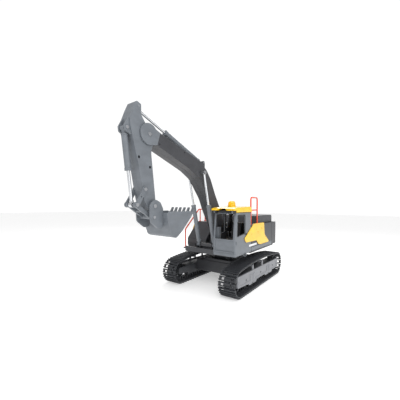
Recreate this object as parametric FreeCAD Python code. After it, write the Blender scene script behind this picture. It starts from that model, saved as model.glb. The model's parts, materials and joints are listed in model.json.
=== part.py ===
"""Hand-moved toy excavator on crawler tracks, about 1:16, built as separate moulded pieces.

Millimetres. +X points along the boom, +Y to the cab's side, +Z up. The machine is drawn
about its slew axis (x = 0, y = 0) with the ground at z = 0, then every piece is moved by
-ORIGIN_X, so that the exported origin lies on the ground below the middle of its box.
"""
import FreeCAD, Part
import math
import os

V = FreeCAD.Vector

# ---------------------------------------------------------------- driving dimensions
OVERALL_WIDTH = 208.0        # over both tracks
TRACK_LENGTH = 311.6         # over the grousers, front to rear
SHOE_WIDTH = 41.0
WRAP_RADIUS = 31.5           # wheel centre to grouser tip
LINK_COUNT = 62              # links in one track chain
ARCH_RISE = 8.0              # how far the top run bulges above the wheel tops
DECK_WIDTH = 186.8           # over the housings
DECK_Z = 89.5                # top of the chassis plate
DECK_REAR = -137.0
CAB_FRONT = 132.4
CAB_TOP = 187.6
BOOM_WIDTH = 32.0
STICK_WIDTH = 24.0
BUCKET_WIDTH = 66.0
ORIGIN_X = 101.95            # slew axis to the middle of the whole length

CLEAR = 0.3                  # gap between pieces that move past each other
RUN = 0.05                   # radial running clearance of a pin in its bore
WALL = 2.2                   # moulded wall

# pivots in the XZ plane
BOOM_FOOT = (44.0, 120.0)
BOOM_CYL_BASE = (105.0, 104.0)
BOOM_CYL_TOP = (152.0, 278.0)
STICK_PIVOT = (311.0, 329.0)
ARM_CYL_BASE = (137.0, 304.5)
ARM_CYL_TOP = (331.5, 373.5)
BUCKET_CYL_HEAD = (354.0, 331.0)
ROCKER_PIVOT = (318.0, 230.0)
LINK_PIVOT = (335.0, 203.0)
BUCKET_PIVOT = (300.0, 201.0)
BUCKET_LINK = (301.0, 181.0)

# worked out from the above
TRACK_Y = OVERALL_WIDTH / 2 - SHOE_WIDTH / 2
WHEEL_X = TRACK_LENGTH / 2 - WRAP_RADIUS
WHEEL_Z = WRAP_RADIUS
GROUSER = 3.0
SHOE_PLATE = 2.0
PIN_TO_PLATE = 2.0
PIN_LOOP_RADIUS = WRAP_RADIUS - GROUSER - SHOE_PLATE - PIN_TO_PLATE
DECK_HALF = DECK_WIDTH / 2
BOOM_HALF = BOOM_WIDTH / 2
STICK_HALF = STICK_WIDTH / 2
BUCKET_HALF = BUCKET_WIDTH / 2
BOOM_CYL_Y = 22.5            # boom cylinders, off the middle plane

# screws and pins
SCREW_RADIUS = 1.2
SCREW_HEAD_RADIUS = 2.3
SCREW_HEAD_HEIGHT = 1.5
SCREW_SLOT_DEPTH = 0.8
SCREW_SLOT_WIDTH = 0.5
SCREW_SLOT_SPAN = 2.85
SCREW_BOSS = 3.6
HEAD_POCKET = 2.6
FOOT_PIN = 3.0
MAIN_PIN = 2.5
SMALL_PIN = 2.0
STUB_PIN = 1.6


# ---------------------------------------------------------------- shape helpers
def box(x0, x1, y0, y1, z0, z1):
    return Part.makeBox(x1 - x0, y1 - y0, z1 - z0, V(x0, y0, z0))


def cyl_y(point, radius, y0, y1):
    return Part.makeCylinder(radius, y1 - y0, V(point[0], y0, point[1]), V(0, 1, 0))


def cyl_z(x, y, radius, z0, z1):
    return Part.makeCylinder(radius, z1 - z0, V(x, y, z0), V(0, 0, 1))


def cyl_x(y, z, radius, x0, x1):
    return Part.makeCylinder(radius, x1 - x0, V(x0, y, z), V(1, 0, 0))


def bar(start, end, radius):
    """Round bar between two points in space."""
    a = V(*start)
    along = V(*end) - a
    return Part.makeCylinder(radius, along.Length, a, along)


def fuse(shapes):
    """One solid from touching or overlapping shapes, without seam lines."""
    whole = shapes[0].multiFuse(shapes[1:]) if len(shapes) > 1 else shapes[0]
    return whole.removeSplitter()


def mirrored(shape):
    """The same piece on the other side of the XZ plane."""
    return shape.mirror(V(0, 0, 0), V(0, 1, 0))


def both_sides(shape):
    return [shape, mirrored(shape)]


def rounded_outline(corners):
    """Closed flat wire through corners (a, b) or (a, b, radius), drawn in the XY plane."""
    count = len(corners)
    cuts = []
    for i, corner in enumerate(corners):
        here = V(corner[0], corner[1], 0)
        if len(corner) < 3:
            cuts.append((here, None, here))
            continue
        back = V(*corners[i - 1][:2], 0) - here
        ahead = V(*corners[(i + 1) % count][:2], 0) - here
        back.normalize()
        ahead.normalize()
        half = back.getAngle(ahead) / 2
        reach = corner[2] / math.tan(half)
        middle = back + ahead
        middle.normalize()
        crown = here + middle * (corner[2] / math.sin(half) - corner[2])
        cuts.append((here + back * reach, crown, here + ahead * reach))
    edges = []
    for i, (first, crown, last) in enumerate(cuts):
        if crown is not None:
            edges.append(Part.Arc(first, crown, last).toShape())
        following = cuts[(i + 1) % count][0]
        if last.distanceToPoint(following) > 1e-6:
            edges.append(Part.LineSegment(last, following).toShape())
    return Part.Wire(edges)


def prism(corners, low, high, plane="xz", inset=0.0):
    """Extrusion of an outline between two heights along the plane's normal."""
    wire = rounded_outline(corners)
    if inset:
        wire = wire.makeOffset2D(-inset)
    solid = Part.Face(wire).extrude(V(0, 0, high - low))
    if plane == "xy":
        solid.translate(V(0, 0, low))
    elif plane == "xz":
        solid.rotate(V(0, 0, 0), V(1, 0, 0), 90)
        solid.translate(V(0, high, 0))
    else:
        solid.rotate(V(0, 0, 0), V(1, 1, 1), 120)
        solid.translate(V(low, 0, 0))
    return solid


def pipe(points, radius, bend):
    """Round rod bent along a path, with an arc of radius bend at each inner point."""
    path = []
    at = V(*points[0])
    for i in range(1, len(points) - 1):
        here = V(*points[i])
        back = V(*points[i - 1]) - here
        ahead = V(*points[i + 1]) - here
        back.normalize()
        ahead.normalize()
        half = back.getAngle(ahead) / 2
        reach = bend / math.tan(half)
        middle = back + ahead
        middle.normalize()
        crown = here + middle * (bend / math.sin(half) - bend)
        path.append(Part.LineSegment(at, here + back * reach).toShape())
        path.append(Part.Arc(here + back * reach, crown, here + ahead * reach).toShape())
        at = here + ahead * reach
    path.append(Part.LineSegment(at, V(*points[-1])).toShape())
    start = V(*points[0])
    section = Part.Wire(Part.makeCircle(radius, start, V(*points[1]) - start))
    return Part.Wire(path).makePipeShell([section], True, True)


def screw_y(point, tip_y, head_y, length):
    """Self-tapping screw along Y. Its head's outer face is at head_y, its tip towards tip_y."""
    way = 1 if tip_y > head_y else -1
    head_end = head_y + way * SCREW_HEAD_HEIGHT
    tip = head_y + way * length
    head = cyl_y(point, SCREW_HEAD_RADIUS, min(head_y, head_end), max(head_y, head_end))
    shank = cyl_y(point, SCREW_RADIUS, min(head_end, tip), max(head_end, tip))
    x, z = point
    low = min(head_y, head_y + way * SCREW_SLOT_DEPTH)
    high = low + SCREW_SLOT_DEPTH
    long = SCREW_SLOT_SPAN / 2
    thin = SCREW_SLOT_WIDTH / 2
    recess = fuse([
        box(x - long, x + long, low, high, z - thin, z + thin),
        box(x - thin, x + thin, low, high, z - long, z + long),
    ])
    return fuse([head, shank]).cut(recess)


def headed_pin(point, radius, end, head_radius, head):
    """Pin across the middle plane, from -end to end, with a flat head on each side."""
    return fuse([
        cyl_y(point, radius, -end, end),
        cyl_y(point, head_radius, end, end + head),
        cyl_y(point, head_radius, -end - head, -end),
    ])


def headed_stub(point, radius, low, high, head_radius, head):
    """Short pin on the left side, its head outside."""
    return fuse([cyl_y(point, radius, low, high), cyl_y(point, head_radius, high, high + head)])


# ---------------------------------------------------------------- track chains
PIN_RADIUS = 1.0
LUG_RADIUS = 1.75
LUG_INNER = (3.2, 5.2)       # across the chain, the lugs at a link's leading pin
LUG_OUTER = (5.5, 7.5)       # and those at its trailing pin
SHOE_LENGTH = 9.9
GROUSER_OFFSET = 3.4
GROUSER_THICK = 1.2
LUG_REACH = 3.4              # from a pin to the end of its lug under the shoe
SHOE_WINDOW = (5.4, 8.0, 14.8)   # opening in the shoe: length, inner and outer edge


def chain_path():
    """Function of length along the closed line of pin centres, and its total length."""
    spread = (WHEEL_X ** 2 - ARCH_RISE ** 2) / (2 * ARCH_RISE)
    arch_radius = ARCH_RISE + spread + PIN_LOOP_RADIUS
    arch_half = math.asin(WHEEL_X / (ARCH_RISE + spread))
    arch_centre_z = WHEEL_Z - spread
    run = 2 * WHEEL_X
    wrap = PIN_LOOP_RADIUS * (math.pi - arch_half)
    arch = 2 * arch_half * arch_radius

    def at(s):
        if s < run:
            return V(s - WHEEL_X, 0, WHEEL_Z - PIN_LOOP_RADIUS)
        s -= run
        if s < wrap:
            angle = s / PIN_LOOP_RADIUS - math.pi / 2
            return V(WHEEL_X + PIN_LOOP_RADIUS * math.cos(angle), 0,
                     WHEEL_Z + PIN_LOOP_RADIUS * math.sin(angle))
        s -= wrap
        if s < arch:
            angle = math.pi / 2 - arch_half + s / arch_radius
            return V(arch_radius * math.cos(angle), 0,
                     arch_centre_z + arch_radius * math.sin(angle))
        s -= arch
        angle = math.pi / 2 + arch_half + s / PIN_LOOP_RADIUS
        return V(-WHEEL_X + PIN_LOOP_RADIUS * math.cos(angle), 0,
                 WHEEL_Z + PIN_LOOP_RADIUS * math.sin(angle))

    return at, run + 2 * wrap + arch


def track_link(pitch):
    """One link: shoe plate with two windows, two grousers and four pin lugs.

    Its trailing pin is at the origin, its leading pin at (pitch, 0, 0), outside is -Z."""
    middle = pitch / 2
    plate_top = -PIN_TO_PLATE
    plate_low = plate_top - SHOE_PLATE
    half_length = SHOE_LENGTH / 2
    half_width = SHOE_WIDTH / 2
    pieces = [box(middle - half_length, middle + half_length, -half_width, half_width,
                  plate_low, plate_top)]
    for side in (-1, 1):
        x = middle + side * GROUSER_OFFSET
        pieces.append(box(x - GROUSER_THICK / 2, x + GROUSER_THICK / 2, -half_width, half_width,
                          plate_low - GROUSER, plate_low))
        for (low, high), pin_x, inward in ((LUG_OUTER, 0, 1), (LUG_INNER, pitch, -1)):
            y0, y1 = sorted((side * low, side * high))
            root = pin_x + inward * LUG_REACH
            pieces.append(cyl_y((pin_x, 0), LUG_RADIUS, y0, y1))
            pieces.append(box(min(pin_x, root), max(pin_x, root), y0, y1, -LUG_RADIUS, LUG_RADIUS))
            foot = pin_x + inward * 0.7
            pieces.append(box(min(foot, root), max(foot, root), y0, y1, plate_top, 0))
    link = fuse(pieces)
    half_window = SHOE_WINDOW[0] / 2
    for side in (-1, 1):
        y0, y1 = sorted((side * SHOE_WINDOW[1], side * SHOE_WINDOW[2]))
        link = link.cut(box(middle - half_window, middle + half_window, y0, y1,
                            plate_low - 1, plate_top + 1))
    for pin_x in (0, pitch):
        link = link.cut(cyl_y((pin_x, 0), PIN_RADIUS + RUN, -half_width, half_width))
    return link


def track_chain():
    """All links and all pins of one chain, about the plane y = 0."""
    at, total = chain_path()
    pins = [at(i * total / LINK_COUNT) for i in range(LINK_COUNT)]
    pin_half = LUG_OUTER[1] + 0.1
    by_pitch = {}
    links = []
    bars = []
    for i, here in enumerate(pins):
        way = pins[(i + 1) % LINK_COUNT] - here
        pitch = round(way.Length, 2)
        if pitch not in by_pitch:
            by_pitch[pitch] = track_link(pitch)
        turn = -math.degrees(math.atan2(way.z, way.x))
        link = by_pitch[pitch].copy()
        link.Placement = FreeCAD.Placement(here, FreeCAD.Rotation(V(0, 1, 0), turn))
        links.append(link)
        bars.append(cyl_y((here.x, here.z), PIN_RADIUS, -pin_half, pin_half))
    return links, bars


# ---------------------------------------------------------------- wheels and track frames
AXLE_RADIUS = 2.0
RIM_RADIUS = 21.4
TOOTH_RADIUS = 22.8
TOOTH_COUNT = 15
WHEEL_HALF = 8.0
HUB_RADIUS = 6.5
PLATE_Y = (96.0, 100.0)      # outer side plate
PRONG_Y = (66.0, 70.0)       # inner cheek that carries the axle's other end
BEAM_HALF = 97.0
PRONG_END = 133.0
POST_X = (48.0, -12.0)       # dummy carrier rollers
ROLLER_COUNT = 7
ROLLER_SPREAD = 78.0         # outermost dummy roller from the middle
ROLLER_RADIUS = 4.8
ROLLER_Z = 14.2
AXLE_INSET = 1.5             # depth of plate or prong left beyond an axle's end
PLATE_SCREW_X = (-88.0, 0.0, 88.0)
PLATE_SCREW_Z = 31.0
PLATE_POCKET = 1.7           # depth of plate left under a screw's head


def wheel(toothed):
    """Track wheel about the origin, axis Y, with dished faces and six holes."""
    body = cyl_y((0, 0), RIM_RADIUS, -WHEEL_HALF, WHEEL_HALF)
    flange = cyl_y((0, 0), TOOTH_RADIUS if toothed else RIM_RADIUS + 0.6, -2.6, 2.6)
    if toothed:
        for i in range(TOOTH_COUNT):
            angle = 2 * math.pi * i / TOOTH_COUNT
            notch = (24.2 * math.cos(angle), 24.2 * math.sin(angle))
            flange = flange.cut(cyl_y(notch, 2.7, -3, 3))
    body = body.fuse(flange)
    for low, high in ((-WHEEL_HALF - 1, -3.0), (3.0, WHEEL_HALF + 1)):
        dish = cyl_y((0, 0), RIM_RADIUS - 3.2, low, high)
        body = body.cut(dish.cut(cyl_y((0, 0), HUB_RADIUS, low, high)))
    for i in range(6):
        angle = math.pi * i / 3
        body = body.cut(cyl_y((12.4 * math.cos(angle), 12.4 * math.sin(angle)), 3.0, -4, 4))
    return body.cut(cyl_y((0, 0), AXLE_RADIUS + RUN, -WHEEL_HALF - 1, WHEEL_HALF + 1))


def track_frame():
    """Left beam between the wheels, with its moulded dummy rollers and the inner prongs."""
    prong = [(-PRONG_END, 24, 6), (-PRONG_END, 41, 6), (PRONG_END, 41, 6), (PRONG_END, 24, 6)]
    pieces = [
        box(-BEAM_HALF, BEAM_HALF, PRONG_Y[0], PLATE_Y[0], 18, 42),
        prism(prong, PRONG_Y[0], PRONG_Y[1]),
    ]
    spacing = 2 * ROLLER_SPREAD / (ROLLER_COUNT - 1)
    for i in range(ROLLER_COUNT):
        pieces.append(cyl_y((i * spacing - ROLLER_SPREAD, ROLLER_Z), ROLLER_RADIUS, 75, 92))
    frame = fuse(pieces)
    for x in (-WHEEL_X, WHEEL_X):
        frame = frame.cut(cyl_y((x, WHEEL_Z), AXLE_RADIUS, PRONG_Y[0] + AXLE_INSET, PRONG_Y[1] + 1))
    for x in PLATE_SCREW_X:
        hole = cyl_y((x, PLATE_SCREW_Z), SCREW_RADIUS, PLATE_Y[0] - 9, PLATE_Y[0] + 1)
        frame = frame.cut(hole)
    return frame


def side_plate():
    """Left outer plate: long bar, two lower lugs, and two posts with dummy top rollers."""
    outline = [(132, 23, 3), (132, 47.5, 3), (-129, 44.5, 3), (-129, 19, 3),
               (-84, 19.5, 2), (-79, 14.8, 2), (-56.5, 14.8), (-56.5, 18), (-51.5, 18),
               (-51.5, 14.8), (-32, 14.8, 2), (-27, 19.5, 2), (27, 19.5, 2), (32, 14.8, 2),
               (50.5, 14.8), (50.5, 18), (55.5, 18), (55.5, 14.8), (71, 14.8, 2), (77, 19.5, 2)]
    pieces = [prism(outline, PLATE_Y[0], PLATE_Y[1])]
    for x in POST_X:
        pieces.append(box(x - 3.2, x + 3.2, PLATE_Y[0], PLATE_Y[1] - 1, 44, 56))
        pieces.append(cyl_y((x, 56), 3.2, 78, PLATE_Y[1] - 1))
    raised = [(124, 26.5, 3), (124, 43.5, 3), (-121, 40.5, 3), (-121, 23, 3)]
    plate = fuse(pieces).cut(prism(raised, PLATE_Y[1] - 0.7, PLATE_Y[1] + 1))
    for x in (-WHEEL_X, WHEEL_X):
        boss = cyl_y((x, WHEEL_Z), 5.0, PLATE_Y[0], PLATE_Y[1] + 0.6)
        plate = plate.fuse(boss).cut(cyl_y((x, WHEEL_Z), AXLE_RADIUS, PLATE_Y[0] - 1, PLATE_Y[1] - 1))
    for x in PLATE_SCREW_X:
        at = (x, PLATE_SCREW_Z)
        plate = plate.cut(cyl_y(at, SCREW_RADIUS, PLATE_Y[0] - 1, PLATE_Y[1] + 1))
        plate = plate.cut(cyl_y(at, HEAD_POCKET, PLATE_Y[0] + PLATE_POCKET, PLATE_Y[1] + 1))
    return plate.removeSplitter()


def undercarriage():
    links, pins = track_chain()
    frame = track_frame()
    plate = side_plate()
    head_y = PLATE_Y[0] + PLATE_POCKET + SCREW_HEAD_HEIGHT
    screws = [screw_y((x, PLATE_SCREW_Z), 0, head_y, 11) for x in PLATE_SCREW_X]
    axles = [cyl_y((x, WHEEL_Z), AXLE_RADIUS, PRONG_Y[0] + AXLE_INSET, PLATE_Y[1] - 1)
             for x in (-WHEEL_X, WHEEL_X)]
    nodes = {"track_pins": []}
    for side, name in ((1, "left"), (-1, "right")):
        offset = V(0, side * TRACK_Y, 0)
        nodes["track_links_" + name] = [link.translated(offset) for link in links]
        nodes["track_pins"] += [pin.translated(offset) for pin in pins]
        nodes["sprocket_" + name] = [wheel(True).translated(V(-WHEEL_X, side * TRACK_Y, WHEEL_Z))]
        nodes["idler_" + name] = [wheel(False).translated(V(WHEEL_X, side * TRACK_Y, WHEEL_Z))]
        nodes["track_frame_" + name] = [frame if side > 0 else mirrored(frame)]
        nodes["side_plate_" + name] = [plate if side > 0 else mirrored(plate)]
    nodes["wheel_axles"] = [s for axle in axles for s in both_sides(axle)]
    nodes["side_plate_screws"] = [s for screw in screws for s in both_sides(screw)]
    nodes.update(carbody())
    return nodes


ARM_X = 44.0                 # cross arms of the centre casting
SLEW_HUB = 9.0
RING_RADIUS = 44.0
RING_Z = (70.0, 79.7)
RING_TEETH = 36
CLIP_Z = (42.5, 46.5)        # snap washer on the slew hub's screw


def carbody():
    """Centre casting, the lower slew ring on it and the cover under it."""
    half_y = PRONG_Y[0]
    middle = [(-56, -44, 6), (-56, 44, 6), (56, 44, 6), (56, -44, 6)]
    pieces = [prism(middle, 36, 60, "xy"), cyl_z(0, 0, RING_RADIUS + 2, 60, RING_Z[0])]
    for x in (-ARM_X, ARM_X):
        arm = [(x - 17, 24, 3), (x - 13, 54, 3), (x + 13, 54, 3), (x + 17, 24, 3)]
        pieces.append(prism(arm, -half_y, half_y))
    body = fuse(pieces)
    body = body.cut(cyl_z(0, 0, 20, 20, 50))
    body = body.cut(cyl_z(0, 0, SLEW_HUB + RUN, 40, 90))
    for x in (-ARM_X, ARM_X):
        body = body.cut(box(x - 10.5, x + 10.5, -half_y + 4, half_y - 4, 23, 50))
    ring = cyl_z(0, 0, RING_RADIUS, *RING_Z).cut(cyl_z(0, 0, RING_RADIUS - 6, 60, 90))
    tooth = box(RING_RADIUS - 0.6, RING_RADIUS + 0.6, -1.2, 1.2, RING_Z[0] + 1, RING_Z[1] - 2)
    for i in range(RING_TEETH):
        placed = tooth.copy()
        placed.rotate(V(0, 0, 0), V(0, 0, 1), 360 * i / RING_TEETH)
        ring = ring.fuse(placed)
    cover = prism([(-26, -30, 6), (-26, 30, 6), (26, 30, 6), (26, -30, 6)], 31, 35.7, "xy")
    return {
        "carbody": [body],
        "slew_ring_lower": [ring.removeSplitter()],
        "belly_cover": [cover],
    }


# ---------------------------------------------------------------- upper structure
RECESS_HALF = 29.5
RECESS_X = 28.0
HOUSING_REAR = -98.0
HOUSING_TOP = 154.8
LEFT_FRONT = 46.0
RIGHT_FRONT = 66.0
SILL_TOP = 100.5
HOOD_TOP = 176.0
HOOD_HALF = 84.0
HOOD_FRONT = -14.0
PANEL_Y = (DECK_HALF + 0.1, DECK_HALF + 1.9)
CHASSIS_SCREWS = ((-88.0, 80.0), (-88.0, -80.0), (34.0, 80.0), (50.0, -80.0))
CAB_LOW = 88.7
LOUVRE_COUNT = 9
LOUVRE_PITCH = 8.8
WEIGHT_WALL = 3.0            # hollow counterweight, open at its front


def chassis():
    """Turntable: deck plate with nose beam, upper slew ring, slew hub and the boom's brackets."""
    deck = [(-124, -90, 8), (-124, 90, 8), (44, 90), (44, 33.6), (119.5, 33.6, 3),
            (119.5, -60, 6), (66, -60), (66, -90)]
    beam = [(112, 33.6), (119.5, 33.6, 2), (119.5, -60, 5), (112, -60)]
    plate = fuse([
        prism(deck, 85, DECK_Z, "xy"),
        prism(beam, 85, 97, "xy"),
        box(40, 112, 25, 84, 85, CAB_LOW - 0.1),
        cyl_z(0, 0, RING_RADIUS + 1, RING_Z[1] + CLEAR, 85),
        cyl_z(0, 0, SLEW_HUB, CLIP_Z[1], 85),
    ] + boom_brackets())
    plate = plate.cut(cyl_z(0, 0, SCREW_RADIUS, CLIP_Z[1] - 1, 60))
    clip = cyl_z(0, 0, 15, *CLIP_Z).cut(cyl_z(0, 0, SCREW_RADIUS, 40, 50))
    screws = [fuse([cyl_z(0, 0, 3.2, CLIP_Z[0] - 2, CLIP_Z[0]),
                    cyl_z(0, 0, SCREW_RADIUS, CLIP_Z[0], 58)])]
    for x, y in CHASSIS_SCREWS:
        plate = plate.cut(cyl_z(x, y, SCREW_RADIUS, 80, 95))
        screws.append(fuse([
            cyl_z(x, y, SCREW_HEAD_RADIUS, 85 - SCREW_HEAD_HEIGHT, 85),
            cyl_z(x, y, SCREW_RADIUS, 85, 96),
        ]))
    return {"turntable": [plate], "slew_retainer": [clip], "upper_screws": screws}


def boom_brackets():
    """Boom foot cheeks and the cross block that carries the boom cylinders' lower ends."""
    fx, fz = BOOM_FOOT
    foot = prism([(RECESS_X + 0.1, DECK_Z), (RECESS_X + 0.1, 131, 2), (fx + 1, 133, 10),
                  (fx + 14, fz, 10), (fx + 20, DECK_Z)], BOOM_HALF + 0.6, BOOM_HALF + 4.6)
    foot = foot.cut(cyl_y(BOOM_FOOT, FOOT_PIN, 0, 30))
    bx, bz = BOOM_CYL_BASE
    rear = bx - 8
    front = bx + 6.4
    ear = [(rear, DECK_Z), (bx - 6, bz + 5, 5), (bx + 6, bz + 5, 5), (front, DECK_Z)]
    inner = (BOOM_CYL_Y - 5.6, BOOM_CYL_Y - 4.0)
    outer = (BOOM_CYL_Y + 4.0, BOOM_CYL_Y + 5.9)
    pieces = both_sides(foot) + both_sides(prism(ear, *inner)) + both_sides(prism(ear, *outer))
    pieces.append(box(bx - 4, bx + 4, -inner[1], inner[1], bz - 4, bz + 4))
    pieces.append(box(rear, front, -outer[1], outer[1], DECK_Z, DECK_Z + 1.6))
    return pieces


def screw_post(x, y, low, side):
    """Post that takes a screw from below, tied to the outer wall."""
    wall = side * (DECK_HALF - WALL / 2)
    tie = box(x - 1.2, x + 1.2, min(y, wall), max(y, wall), low, low + 10)
    return cyl_z(x, y, SCREW_BOSS, low, low + 10).fuse(tie)


def hollow(outline, low, high, open_low, open_high):
    """Moulded shell from a side outline, open below between two x positions."""
    shell = prism(outline, low, high)
    shell = shell.cut(prism(outline, low + WALL, high - WALL, inset=WALL))
    bottom = min(corner[1] for corner in outline)
    return shell.cut(box(open_low + WALL, open_high - WALL, low + WALL, high - WALL,
                         bottom - 1, bottom + 2 * WALL))


def with_posts(shell, low, side):
    for x, y in CHASSIS_SCREWS:
        if y * side > 0:
            shell = shell.fuse(screw_post(x, y, low, side))
            shell = shell.cut(cyl_z(x, y, SCREW_RADIUS, low - 1, low + 8))
    return shell.removeSplitter()


def upper_housings():
    low = DECK_Z
    left = [(HOUSING_REAR, SILL_TOP), (HOUSING_REAR, HOUSING_TOP, 3),
            (LEFT_FRONT, HOUSING_TOP, 3), (LEFT_FRONT, SILL_TOP)]
    right = [(HOUSING_REAR, low), (HOUSING_REAR, HOUSING_TOP, 3), (20, HOUSING_TOP, 4),
             (RIGHT_FRONT, 110, 4), (RIGHT_FRONT, low)]
    left_shell = hollow(left, RECESS_HALF, DECK_HALF, HOUSING_REAR, LEFT_FRONT)
    right_shell = mirrored(hollow(right, RECESS_HALF, DECK_HALF, HOUSING_REAR, RIGHT_FRONT))
    sill = box(HOUSING_REAR, LEFT_FRONT, RECESS_HALF, DECK_HALF, low, SILL_TOP)
    foot = [edge for edge in sill.Edges if edge.BoundBox.ZMax < low + 0.01
            and edge.BoundBox.YMin > DECK_HALF - 0.01]
    sill = sill.makeChamfer(1.6, foot)
    sill = sill.cut(box(HOUSING_REAR + WALL, LEFT_FRONT - WALL, RECESS_HALF + WALL,
                        DECK_HALF - WALL, low - 1, SILL_TOP + 1))
    bulkhead = box(HOUSING_REAR, RECESS_X, -RECESS_HALF, RECESS_HALF, low, HOUSING_TOP)
    bulkhead = bulkhead.cut(box(HOUSING_REAR + WALL, RECESS_X - WALL, -RECESS_HALF + WALL,
                                RECESS_HALF - WALL, low - 1, HOUSING_TOP - WALL))
    frame = box(RECESS_X, RECESS_X + 0.8, -RECESS_HALF + 1, RECESS_HALF - 1, 134, 154)
    ribs = [box(RECESS_X, RECESS_X + 1.6, y, y + 3.0, 136, 152)
            for y in (6.0 * i - 22.5 for i in range(8))]
    return {
        "housing_left": [left_shell],
        "housing_right": [with_posts(right_shell, low, -1)],
        "side_sill_left": [with_posts(sill, low, 1)],
        "bulkhead": [fuse([bulkhead, frame] + ribs)],
    }


def hood_and_weight():
    """Engine hood, a hollow cover over the rear, and the counterweight behind it."""
    low = HOUSING_TOP + 0.1
    outline = [(-124.5, low), (-124.5, HOOD_TOP, 6), (HOOD_FRONT - 8, HOOD_TOP, 8), (HOOD_FRONT, low)]
    hood = hollow(outline, -HOOD_HALF, HOOD_HALF, -124.5, HOOD_FRONT - 2)
    for i in range(LOUVRE_COUNT):
        x = -108 + i * LOUVRE_PITCH
        hood = hood.cut(box(x, x + LOUVRE_PITCH / 2, -40, 40, HOOD_TOP - 1.0, HOOD_TOP + 1))
    edge = DECK_HALF + 0.1
    front = HOUSING_REAR - 0.1
    plan = [(front, -edge), (front, edge), (DECK_REAR + 2.5, edge, 3), (DECK_REAR, edge - 24, 40),
            (DECK_REAR, -edge + 24, 40), (DECK_REAR + 2.5, -edge, 3)]
    inner_low = DECK_Z + 0.5 + WEIGHT_WALL
    inner_high = HOUSING_TOP - WEIGHT_WALL
    weight = prism(plan, DECK_Z + 0.5, HOUSING_TOP, "xy")
    weight = weight.cut(prism(plan, inner_low, inner_high, "xy", inset=WEIGHT_WALL))
    weight = weight.cut(box(front - WEIGHT_WALL - 1, front + 1, -edge + WEIGHT_WALL,
                            edge - WEIGHT_WALL, inner_low, inner_high))
    weight = weight.cut(box(DECK_REAR - 1, DECK_REAR + 1.0, -62, 62, 112, 114))
    return {"engine_hood": [hood.removeSplitter()], "counterweight": [weight]}


def side_panels():
    """Coloured flank panels, the blank label plate below the left one."""
    outline = [(35, 158, 3), (-33, 157.5, 3), (-38, 125, 8), (-74, 101.2, 2.5), (-9, 101.2, 2),
               (4, 103.5, 3), (18.6, 114.6, 3), (79, 116, 3), (89, 125.4, 4)]
    panel = prism(outline, *PANEL_Y)
    plain = [(30, 153, 3), (-33, 153, 3), (-38, 125, 8), (-74, 101.2, 2.5), (-9, 101.2, 2),
             (4, 103.5, 3), (18.6, 114.6, 3), (50, 114.6, 3)]
    label = box(15, 61, DECK_HALF + 0.1, DECK_HALF + 0.8, 103.4, 108.4)
    return {"side_panels": [panel, mirrored(prism(plain, *PANEL_Y))], "label_plate": [label]}


# ---------------------------------------------------------------- cab
CAB_REAR = LEFT_FRONT + 0.4
CAB_Y = (36.0, DECK_HALF)
CAB_SIDE = [(CAB_REAR, CAB_LOW), (CAB_REAR + 3, CAB_TOP, 2), (CAB_FRONT - 6, CAB_TOP, 2),
            (CAB_FRONT, 126, 30), (CAB_FRONT, CAB_LOW, 3)]
SIDE_WINDOW = [(120.6, 181.6, 3), (82.4, 181.6, 3), (82.2, 137.8, 3), (123.2, 133, 3)]
QUARTER_WINDOW = [(76.4, 181.6, 3), (58, 181.6, 3), (70, 149, 2), (76.4, 146, 2)]
FRONT_WINDOW = [(41.0, 127, 2.5), (41.0, 184, 2.5), (87.8, 184, 2.5), (87.8, 127, 2.5)]
REAR_WINDOW = [(43, 160, 3), (43, 180, 3), (84, 180, 3), (84, 160, 3)]
COLUMN = (112.0, 122.0, 45.0, 151.5)   # side column: rear, front, inner face, top
RING_EYE = (83.0, 92.6, 88.4)          # lashing ring on the cab's lower edge
FLOOR_Z = (112.0, 115.0)
LINER = 1.0
ROOF_LOW = CAB_TOP + 0.1
ROOF_TOP = 201.0
ROOF_NOSE = CAB_FRONT + 6
NOSE_LOW = 191.6
LAMP_Y = (38.5, 84.5)        # right edges of the two lamps
LAMP_WIDTH = 9.0
LAMP_LOW = 184.4
VISOR = [(49, ROOF_LOW - 1), (49, 188.5), (55.5, 196.4), (70.5, 196.4), (77, 188.5), (77, ROOF_LOW - 1)]
VISOR_REAR = 118.0
BEACON_AT = (87.0, 60.0)
BEACON_RADIUS = 8.4
BEACON_Z = (203.3, 214.0)


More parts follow.
